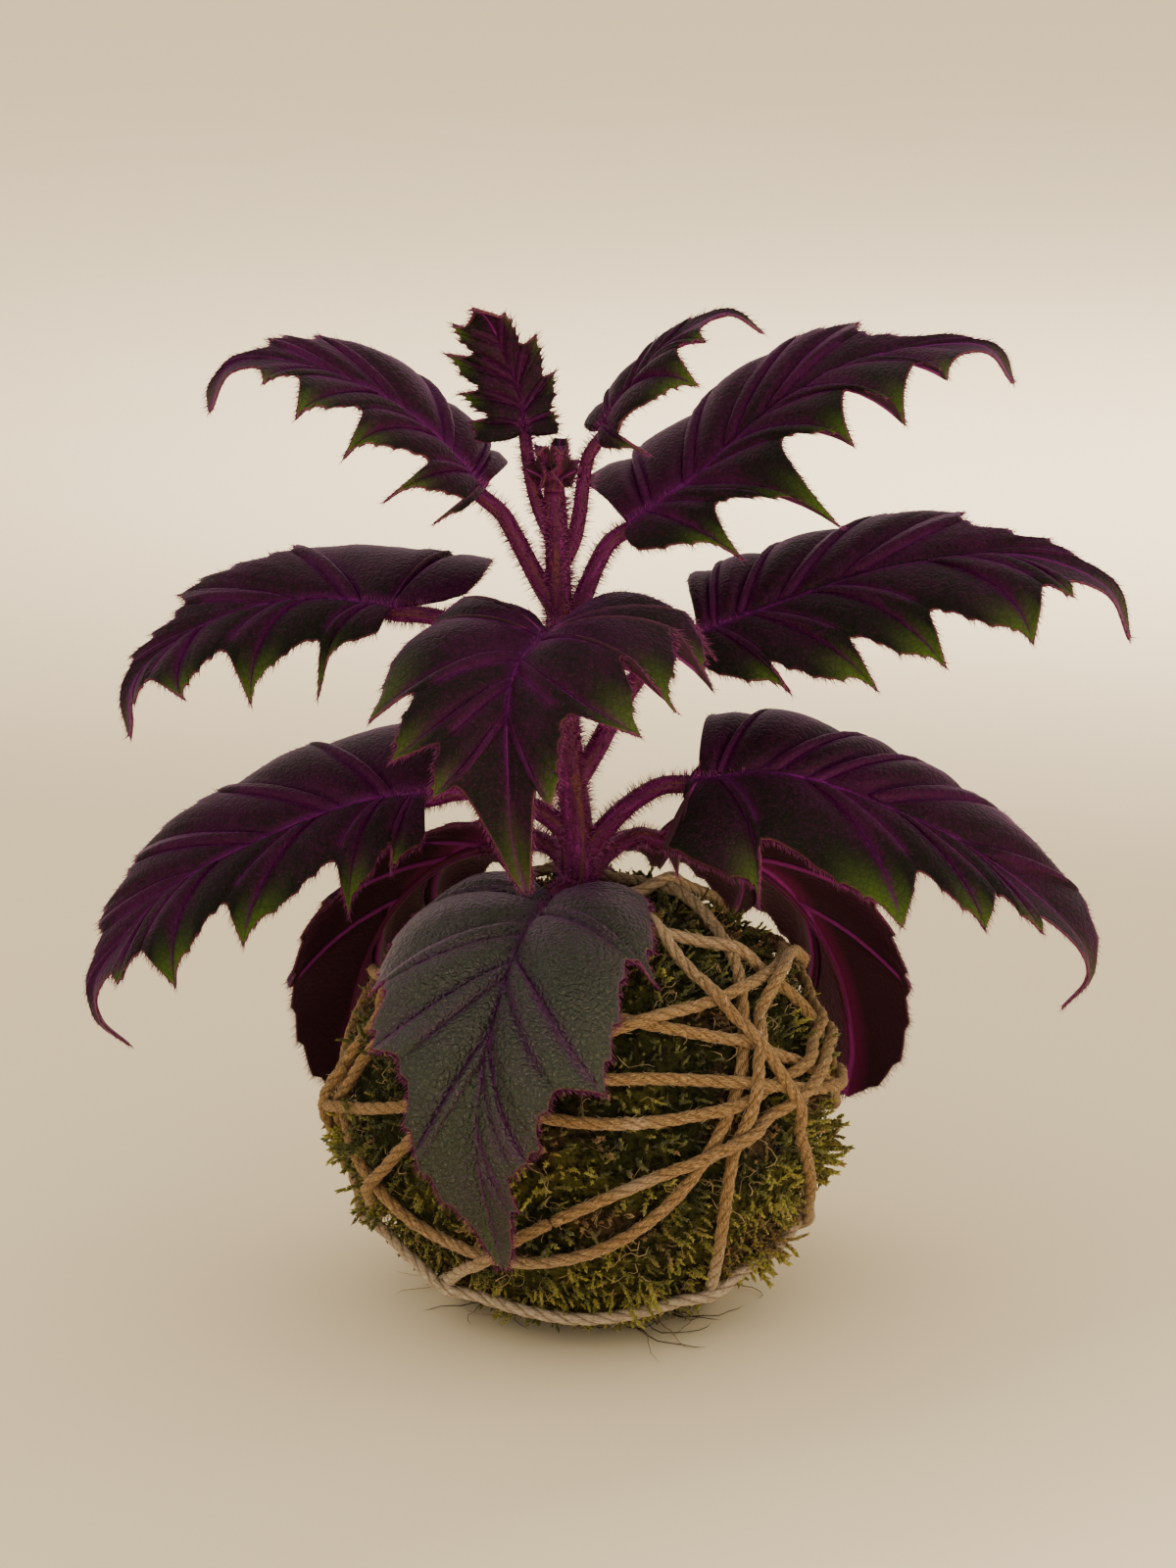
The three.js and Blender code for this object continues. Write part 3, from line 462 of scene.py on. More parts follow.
def wrap_heading(lean, heading, offset, angle):
    """The directions from the ball's middle to a turn of twine."""
    axis = heading_of(lean, heading)
    turn = math.radians(heading)
    first = np.array([-math.sin(turn), math.cos(turn), 0])
    second = np.cross(axis, first)
    angle = np.asarray(angle)[..., None]
    offset = offset + wander * np.sin(2 * angle + 3 * turn) + small_wander * np.sin(3 * angle + 5 * turn)
    return unit(first * np.cos(angle) + second * np.sin(angle) + axis * offset / ball_radius)


hang_middle = hang_line[: len(hang_line) // 4]
near = np.exp(-((np.arange(-9, 10) / 3.2) ** 2))
laid, laid_heights, wrap_lines = np.zeros((0, 3)), np.zeros(0), []
for turn in wrap_turns:
    directions = wrap_heading(*turn, np.linspace(0, full_turn, wrap_steps, endpoint=False))
    resting = moss_place(directions, wrap_lift + twine_diameter / 2)
    heights = np.zeros(wrap_steps)
    if len(laid):
        apart = np.linalg.norm(resting[:, None] - laid, axis=2)
        need = laid_heights + crossing_rise * (1 - (apart / crossing_reach) ** 2)
        heights = np.clip(np.where(apart < crossing_reach, need, 0).max(1), 0, highest_crossing)
    from_hanging = np.linalg.norm(resting[:, None] - hang_middle, axis=2).min(1)
    heights = np.minimum(heights, 0.3 + 0.35 * np.maximum(from_hanging - 3.4, 0))
    heights = np.convolve(np.r_[heights[-9:], heights, heights[:9]], near / near.sum(), "valid")
    laid, laid_heights = np.vstack([laid, resting]), np.r_[laid_heights, heights]
    raised = moss_place(directions, wrap_lift + twine_diameter / 2 + heights)
    wrap_lines.append(evenly(np.vstack([raised, raised[:1]]), 1.3)[:-1])

wrap_knot = moss_place(wrap_heading(*wrap_turns[0], math.radians(knot_angle)), 3.2)
knot_line = evenly(overhand_knot(wrap_knot + [0, -0.5, 0], 0.9, 1.25), 1.0)[:-1]
skins = [tube_skin(line, twine_section, twine_twist, closed=True) for line in [*wrap_lines, knot_line]]
twine_wrap = new_piece("twine_wrap_rope", skins, jute)
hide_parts("twine_wrap")
wrap_fuzz = new_piece("twine_wrap_fibres", [stray_fibres(line, 1.5) for line in wrap_lines], jute_fuzz)

# Soil
# A ball of dark, damp potting soil pressed firmly round the roots. It shows only in the
# small opening round the stem, where crumbs of it lie loose.
soil = new_material("soil", 0.95, 0.2)
crumbs = grain(object_place(), 700, 6, 0.7)
color = mix_colors(fitted(crumbs, 0.35, 0.7), (0.012, 0.008, 0.005), (0.085, 0.055, 0.034))
set_look(color, crumbs, 0.0008)

moss_thickness = 7
bpy.ops.mesh.primitive_uv_sphere_add(segments=64, ring_count=40, radius=1)
soil_ball = bpy.context.object
soil_ball.name = "soil_ball_fine"
directions = np.array([v.co for v in soil_ball.data.vertices])
depth = moss_thickness + touching_gap
lumps = 0.35 * np.sin(directions * [31, 29, 33]).prod(axis=1)
places = ball_place(directions, -depth + lumps)
places[:, 2] = np.maximum(places[:, 2], depth)
soil_ball.data.vertices.foreach_set("co", (places * mm).ravel())
soil_ball.data.polygons.foreach_set("use_smooth", np.ones(len(soil_ball.data.polygons), bool))
soil_ball.data.materials.append(soil)
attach(soil_ball, "root")
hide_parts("soil_ball")

bpy.ops.mesh.primitive_ico_sphere_add(subdivisions=1, radius=1)
crumb = bpy.context.object


def pattern_of(made):
    """The points and faces of a small modelled shape, which is then put away."""
    mesh = made.data
    mesh.calc_loop_triangles()
    points = np.array([v.co for v in mesh.vertices])
    faces = np.array([t.vertices for t in mesh.loop_triangles])
    bpy.data.objects.remove(made)
    return points, faces


def copies(pattern, places, turns, sizes, marks, bends=0.0):
    """The skin of many copies of a small shape, each with its place, directions and size."""
    points, faces = pattern
    many = len(places)
    shaped = points[None] * np.asarray(sizes).reshape(many, 1, -1)
    shaped[..., 0] += (np.ones(many) * bends)[:, None] * shaped[..., 2] ** 2
    moved = np.einsum("mij,mpj->mpi", turns, shaped) + places[:, None]
    starts = np.arange(many)[:, None, None] * len(points)
    high = points[:, 2] / max(points[:, 2].max(), 1e-6)
    tones = np.repeat(np.ones(many) * marks, faces.size)
    marks = np.column_stack([tones, np.tile(high[faces].ravel(), many)])
    return moved.reshape(-1, 3), [(faces[None] + starts).reshape(-1, 3)], marks


def turned_to(ahead, spin):
    """Turning matrices that bring the Z axis to some directions."""
    ahead = unit(ahead)
    side = unit(np.cross(ahead, [0.23, 0.41, 0.88]))
    x = side * np.cos(spin)[:, None] + np.cross(ahead, side) * np.sin(spin)[:, None]
    return np.stack([x, np.cross(ahead, x), ahead], axis=2)


crumb_count = 420
down = np.degrees(np.arcsin(np.sqrt(chance.uniform(0.004, 0.05, crumb_count))))
where = heading_of(down, chance.uniform(0, 360, crumb_count))
sizes = chance.uniform(0.35, 1.15, (crumb_count, 1)) * chance.uniform(0.6, 1.2, (crumb_count, 3))
turns = turned_to(chance.normal(size=(crumb_count, 3)), chance.uniform(0, 6, crumb_count))
places = ball_place(where, -depth + 0.2)
crumbs_piece = new_piece("soil_crumbs", [copies(pattern_of(crumb), places, turns, sizes, 0.5)], soil)

# Moss cover
# Sheets of living moss laid round the soil, green side out. Under the shoots is a dark mat of
# stems, dead shoots and soil; the hollows between its cushions are painted near black as shade.


def new_group(name, *results):
    """A group for a pattern that several materials use: it reads a place and puts out some
    named values. Its tree takes the nodes that are added next."""
    global tree
    tree = bpy.data.node_groups.new(name, "ShaderNodeTree")
    tree.interface.new_socket("Place", in_out="INPUT", socket_type="NodeSocketVector")
    for result in results:
        tree.interface.new_socket(result, in_out="OUTPUT", socket_type="NodeSocketFloat")
    return tree, tree.nodes.new("NodeGroupInput").outputs[0], tree.nodes.new("NodeGroupOutput").inputs


def group_values(group):
    """A group's two values on a piece."""
    return add_node("Group", {0: object_place()}, node_tree=group).outputs[:2]


moss_patches, place, results = new_group("moss_patches", "Yellow", "Dry")
spot = add_node("SeparateXYZ", {0: place}).outputs
broad = grain(place, 75, 4, 0.65)
low = fitted(spot["Z"], 0.075, 0.015, -0.1, 0.06)
sideways = fitted(spot["X"], -0.05, 0.05, -0.02, 0.06)
yellow = sums("ADD", broad, sums("ADD", low, sideways))
tree.links.new(fitted(yellow, 0.42, 0.6), results[0])
shifted = add_node("VectorMath", {0: place, 1: (0.31, 0.17, 0.05)}, operation="ADD").outputs[0]
tree.links.new(fitted(grain(shifted, 48, 3, 0.6), 0.52, 0.62), results[1])

moss_mat = new_material("moss_mat", 1.0, 0.1)
yellow, dry = group_values(moss_patches)
place = object_place()
matted = grain(place, 520, 6, 0.75)
tangled = add_node("TexVoronoi", {"Vector": place, "Scale": 420.0}).outputs["Distance"]
color = mix_colors(yellow, (0.03, 0.034, 0.01), (0.085, 0.08, 0.018))
color = mix_colors(dry, color, (0.075, 0.048, 0.026))
# Painted shade: the hollows between the cushions turn near black.
color = mix_colors(fitted(matted, 0.6, 0.38), color, (0.007, 0.006, 0.004))
set_look(color, sums("SUBTRACT", matted, sums("MULTIPLY", tangled, 0.6)), 0.0015)

opening_radius = 9
opening = math.degrees(math.asin(opening_radius / ball_radius))
outer = np.linspace(180, opening, 100)[1:-1]
inner = np.linspace(opening, 180, 26)[1:-1]
around = np.arange(0, 360, 3)
grid_down, grid_heading = np.meshgrid(np.r_[outer, opening, opening, inner], around, indexing="ij")
directions = heading_of(grid_down, grid_heading)
x, y, z = np.moveaxis(directions * ball_radius, -1, 0)
knobs = np.sin(1.9 * x + np.sin(1.3 * y)) * np.sin(2.1 * y + np.sin(1.7 * z))
knobs = knobs * np.sin(1.8 * z + np.sin(1.5 * x))
knobs = 0.55 * knobs + 0.45 * np.sin(0.8 * x + 2) * np.sin(0.9 * y) * np.sin(0.85 * z + 1) - 0.55
cover = moss_place(directions, knobs)
wall = len(outer) + 1
cover[wall:] = ball_place(directions[wall:], -moss_thickness)
cover[:wall, :, 2] = np.maximum(cover[:wall, :, 2], 0)
cover[wall:, :, 2] = np.maximum(cover[wall:, :, 2], moss_thickness)
rings, across = cover.shape[:2]
points = np.vstack([cover.reshape(-1, 3), [[0, 0, 0], [0, 0, moss_thickness]]])
quads = ring_faces(rings, across)
j = np.arange(across)
low_pole = np.column_stack([(j + 1) % across, j, np.full(across, rings * across)])
last = (rings - 1) * across
high_pole = np.column_stack([last + j, last + (j + 1) % across, np.full(across, rings * across + 1)])
marks = np.zeros((4 * len(quads) + 6 * across, 2))
moss_cover = new_piece("moss_cover_mat", [(points, [quads, low_pole, high_pole], marks)], moss_mat)
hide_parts("moss_cover")

# Moss shoots
# The living shoots of the moss: short soft stems set round with tiny pointed leaves, yellow
# green where light reaches them, brown between, and painted dark towards their bases as shade.
# Some stand off in loose tufts.
moss_shoot = new_material("moss_shoots", 0.75, 0.15)
yellow, dry = group_values(moss_patches)
tone, high = uv_marks()
dark = mix_colors(tone, (0.022, 0.026, 0.006), (0.13, 0.135, 0.02))
light = mix_colors(tone, (0.12, 0.13, 0.012), (0.5, 0.43, 0.07))
brown = mix_colors(tone, (0.06, 0.024, 0.01), (0.36, 0.19, 0.08))
dead = sums("MAXIMUM", sums("MULTIPLY", dry, 0.75), fitted(tone, 0.9, 0.97))
color = mix_colors(dead, mix_colors(yellow, dark, light), brown)
# Painted shade: each shoot darkens towards its base, down among the other shoots.
color = mix_colors(fitted(high, 0.0, 0.6, 0.75, 0.0), color, (0.018, 0.015, 0.006))
set_look(color, sheen=0.15)


def joined(parts):
    """Some pieces as one object, the first of them."""
    bpy.ops.object.select_all(action="DESELECT")
    for part in parts:
        part.select_set(True)
    bpy.context.view_layer.objects.active = parts[0]
    bpy.ops.object.join()
    return parts[0]


def modelled_shoot(leaves, long, spread, seed):
    """One shoot of moss, put together of cones: a stem with leaves in a spiral."""
    dice = np.random.default_rng(seed)
    middle = (0, 0, long / 2)
    bpy.ops.mesh.primitive_cone_add(vertices=3, radius1=0.16, radius2=0, depth=long, location=middle)
    made = [bpy.context.object]
    for k in range(leaves):
        share = (k + 1) / leaves
        turn = k * 2.4 + dice.uniform(-0.3, 0.3)
        lean = spread * (1.15 - 0.55 * share)
        size = 1.35 * (1.1 - 0.45 * share) * dice.uniform(0.8, 1.2)
        out = np.array([math.sin(lean) * math.cos(turn), math.sin(lean) * math.sin(turn), math.cos(lean)])
        middle = np.array([0, 0, 0.12 * long + 0.84 * long * share]) + out * size / 2
        bpy.ops.mesh.primitive_cone_add(
            vertices=3, radius1=0.42, radius2=0, depth=size, location=middle, rotation=(0, lean, turn)
        )
        made.append(bpy.context.object)
    shoot = joined(made)
    bpy.ops.object.transform_apply(location=True, rotation=True, scale=True)
    return pattern_of(shoot)


shoots = [modelled_shoot(*form) for form in [(11, 4.6, 0.95, 1), (9, 3.4, 1.1, 2), (12, 5.6, 0.8, 3)]]
dice = np.random.default_rng(5)
wrap_points = np.vstack(wrap_lines)[::2]
lowest_shoot = 0.15


def near_twine(places, within):
    """Whether twine lies over each place."""
    found = []
    for some in np.array_split(places, 20):
        found.append(np.linalg.norm(some[:, None] - wrap_points, axis=2).min(1) < within)
    return np.concatenate(found)


def shoot_skin(shoot, roots, ahead, sizes, tones, bend):
    """Many shoots of one kind, none of which goes under the table."""
    many = len(roots)
    turns = turned_to(ahead, dice.uniform(0, 6, many))
    skin = copies(shoot, roots, turns, sizes(many), tones(many), dice.uniform(-bend, bend, many))
    skin[0][:, 2] = np.maximum(skin[0][:, 2], lowest_shoot)
    return skin


many = 6900
share = (np.arange(many) + 0.5) / many
directions = heading_of(
    np.degrees(np.arccos(1 - 2 * share)) + dice.normal(0, 1, many),
    (np.arange(many) * 137.508 + dice.normal(0, 2, many)) % 360,
)
normals = unit(moss_place(directions, 1) - moss_place(directions, -1))
x, y, z = directions.T * 6
drift = np.column_stack([np.sin(2 * y + 1), np.sin(2 * z + 2), np.sin(2 * x) - 0.5])
across = unit(np.cross(normals, drift) + dice.normal(0, 0.8, (many, 3)))
lean = dice.uniform(0.35, 1.15, many)[:, None]
ahead = unit(normals * np.cos(lean) + across * np.sin(lean) + [0, 0, -0.1])
roots = moss_place(directions, dice.uniform(-1.6, -0.3, many))
x, y, z = directions.T
scale = dice.uniform(0.4, 0.85, many) + 0.3 * np.abs(np.sin(7 * x + 3 * z) * np.sin(8 * y))
covered = near_twine(moss_place(directions, 2.2), 2.3)
scale = np.where(covered, scale * 0.5, scale)
tip_height = roots[:, 2] + ahead[:, 2] * 6 * scale
clear = (tip_height > 0.7) & (roots[:, 2] > 0.6) & (share > 0.008)
tones = dice.beta(1.6, 1.6, many)
kind = dice.choice(3, many, p=[0.4, 0.35, 0.25])
for k, shoot in enumerate(shoots):
    c = clear & (kind == k)
    skin = shoot_skin(shoot, roots[c], ahead[c], lambda _: scale[c], lambda _: tones[c], 0.09)
    piece = new_piece(f"moss_shoots_{k + 1}", [skin], moss_shoot)

tufts = [
    (103, -6, 40), (97, 188, 34), (112, 196, 26), (92, 205, 18), (76, -20, 18), (120, -32, 26),
    (70, 200, 12), (104, 150, 14), (88, 40, 12), (112, 95, 12), (98, 250, 8), (126, -75, 10),
    (118, 20, 12), (84, 120, 10),
]
skins = []
for down, heading, amount in tufts:
    where = heading_of(down + dice.normal(0, 3.2, amount), heading + dice.normal(0, 3.2, amount))
    out = where + [0, 0, 0.1] + dice.normal(0, 0.4, (amount, 3))
    roots = moss_place(where, -0.5)
    sizes = lambda many: dice.uniform(0.8, 1.6, many)
    tones = lambda many: dice.uniform(0.3, 0.85, many)
    skins.append(shoot_skin(shoots[2], roots, out, sizes, tones, 0.08))
moss_tufts = new_piece("moss_tufts", skins, moss_shoot)

# Dry fibres and roots
# Dead stems, thin roots and stray threads that lie tangled over the moss, mostly wiry and
# curled, dark or straw coloured. A few longer roots creep out under the ball.
wiry = new_material("dry_fibres", 0.8, 0.2)
set_look(mix_colors(fitted(uv_marks()[0], 0.45, 0.75), (0.035, 0.024, 0.012), (0.42, 0.3, 0.16)))


def curled_lines(directions, length, height, count=9):
    """Threads that wander over the moss from each direction on."""
    many = len(directions)
    place = directions.copy()
    turn = dice.uniform(0, full_turn, many)
    bend = dice.normal(0, 0.55, many)
    rise = height * dice.uniform(0.4, 1.2, many)
    lines = []
    for k in range(count):
        high = rise * (0.55 + 0.45 * math.sin(1.3 * k)) + dice.normal(0, 0.2, many)
        lines.append(moss_place(place, high))
        side = unit(np.cross(place, [0.1, 0.2, 0.97]))
        step = side * np.cos(turn)[:, None] + np.cross(place, side) * np.sin(turn)[:, None]
        place = unit(place + step * (length / (count - 1) / ball_radius)[:, None])
        turn += bend + dice.normal(0, 0.35, many)
    return np.stack(lines, 1)


fibre_count = 1300
directions = unit(dice.normal(size=(fibre_count, 3)))
directions = directions[directions[:, 2] < 0.975]
lines = curled_lines(directions, dice.uniform(5, 13, len(directions)), 2.6)
lines = lines[lines[..., 2].min(1) > 0.3]
tones = dice.uniform(0, 1, len(lines))
skin = thread_skin(lines, dice.uniform(0.12, 0.3, len(lines)), tones)
dry_fibres = new_piece("moss_dry_fibres", [skin], wiry)

many = 46
headings = np.radians(dice.uniform(0, 360, many))
turn = headings + dice.normal(0, 0.7, many)
bend = dice.normal(0, 0.28, many)
reach = dice.uniform(15, 24, many)
x, y = reach * np.cos(headings), reach * np.sin(headings)
step = dice.uniform(1.6, 3.2, many)
rising = dice.uniform(2.0, 4.5, many)
lines = []
for k in range(10):
    low = np.maximum(rising * (1 - k / 4) ** 2 * (k < 4), 0.25 + 0.4 * np.abs(np.sin(k + reach)))
    lines.append(np.column_stack([x, y, low]))
    x, y = x + step * np.cos(turn), y + step * np.sin(turn)
    turn = turn + bend + dice.normal(0, 0.25, many)
skin = thread_skin(np.stack(lines, 1), dice.uniform(0.25, 0.45, many), dice.uniform(0.2, 0.8, many))
loose_roots = new_piece("loose_roots", [skin], wiry)

# Main stem
# The plant's stem, fleshy and upright, magenta purple with brown streaks, and covered all
# over with soft straight hairs. It is rooted in the soil.
# Tiny pale specks painted on as glints of hairs, and the grain of the nap.
velvet_grain_and_glints, place, results = new_group("velvet_grain_and_glints", "Painted glints", "Nap")
tree.links.new(fitted(grain(place, 2600, 2, 0.6), 0.56, 0.7), results[0])
tree.links.new(grain(place, 900, 3, 0.6), results[1])

stem_skin = new_material("stem_skin", 0.55, 0.15)
painted_glints, nap = group_values(velvet_grain_and_glints)
round_stem, along_stem = uv_marks()
around = sums("MULTIPLY", round_stem, full_turn)
streak_place = {
    "X": sums("COSINE", around), "Y": sums("SINE", around), "Z": sums("MULTIPLY", along_stem, 0.035),
}
streaks = grain(add_node("CombineXYZ", streak_place).outputs[0], 2.6, 4, 0.6)
color = mix_colors(fitted(streaks, 0.48, 0.66), (0.065, 0.002, 0.042), (0.085, 0.024, 0.02))
color = mix_colors(fitted(streaks, 0.44, 0.32), color, (0.14, 0.004, 0.11))
# Painted highlight: pale specks stand for glints on the stem's hairs.
color = mix_colors(sums("MULTIPLY", painted_glints, 0.15), color, (0.3, 0.05, 0.22))
set_look(color, nap, 0.0003, 0.5, 0.3, 0.35, (0.7, 0.12, 0.45))

hair_skin = new_material("magenta_hairs", 0.5, 0.3)
tone, out = uv_marks()
color = mix_colors(tone, (0.17, 0.01, 0.13), (0.42, 0.1, 0.32))
set_look(mix_colors(fitted(out, 0.1, 0.8), (0.09, 0.002, 0.055), color))

stem_top = (-7.4, 1, 188)
stem_points = [(-2, 0, 70), (-2, 0, 92), (-2.6, 0.5, 112), (-4.6, 1, 128), (-6, 1.5, 150), (-6.6, 1.5, 172)]
stem_points = np.array([*stem_points, stem_top])
stem_radii = [3.6, 3.6, 3.5, 3.3, 3.1, 2.8, 2.4]
stem_line = evenly(smooth_line(stem_points, 0), 1.5)
stem_width = np.interp(np.linspace(0, 6, len(stem_line)), range(7), stem_radii)
round_angles = np.arange(20) * math.pi / 10
ribbed = 1 + 0.035 * np.cos(5 * round_angles)
skin = tube_skin(stem_line, (round_angles, ribbed), 0.01, radii=stem_width)
main_stem = new_piece("main_stem_fine", [skin], stem_skin)
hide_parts("main_stem")


def rod_hairs(line, radii, per_mm, length):
    """Straight hairs that stand out all round a stem or stalk."""
    many = int(per_mm * np.linalg.norm(np.diff(line, axis=0), axis=1).sum())
    k = chance.integers(1, len(line) - 1, many)
    share = chance.uniform(0, 1, (many, 1))
    middle = line[k] * share + line[k - 1] * (1 - share)
    ahead = unit(line[k + 1] - line[k - 1])
    out = unit(np.cross(ahead, chance.normal(size=(many, 3))))
    start = middle + out * radii[k][:, None] * 0.9
    long = chance.uniform(*length, (many, 1))
    tip = start + unit(out + ahead * chance.normal(0.1, 0.22, (many, 1))) * long
    thickness = chance.uniform(0.14, 0.2, many)
    return thread_skin(np.stack([start, tip], 1), thickness, chance.uniform(0, 1, many))


shown = stem_line[:, 2] > 88
skin = rod_hairs(stem_line[shown], stem_width[shown], 62, (1.8, 3.1))
stem_hairs = new_piece("main_stem_hairs", [skin], hair_skin)
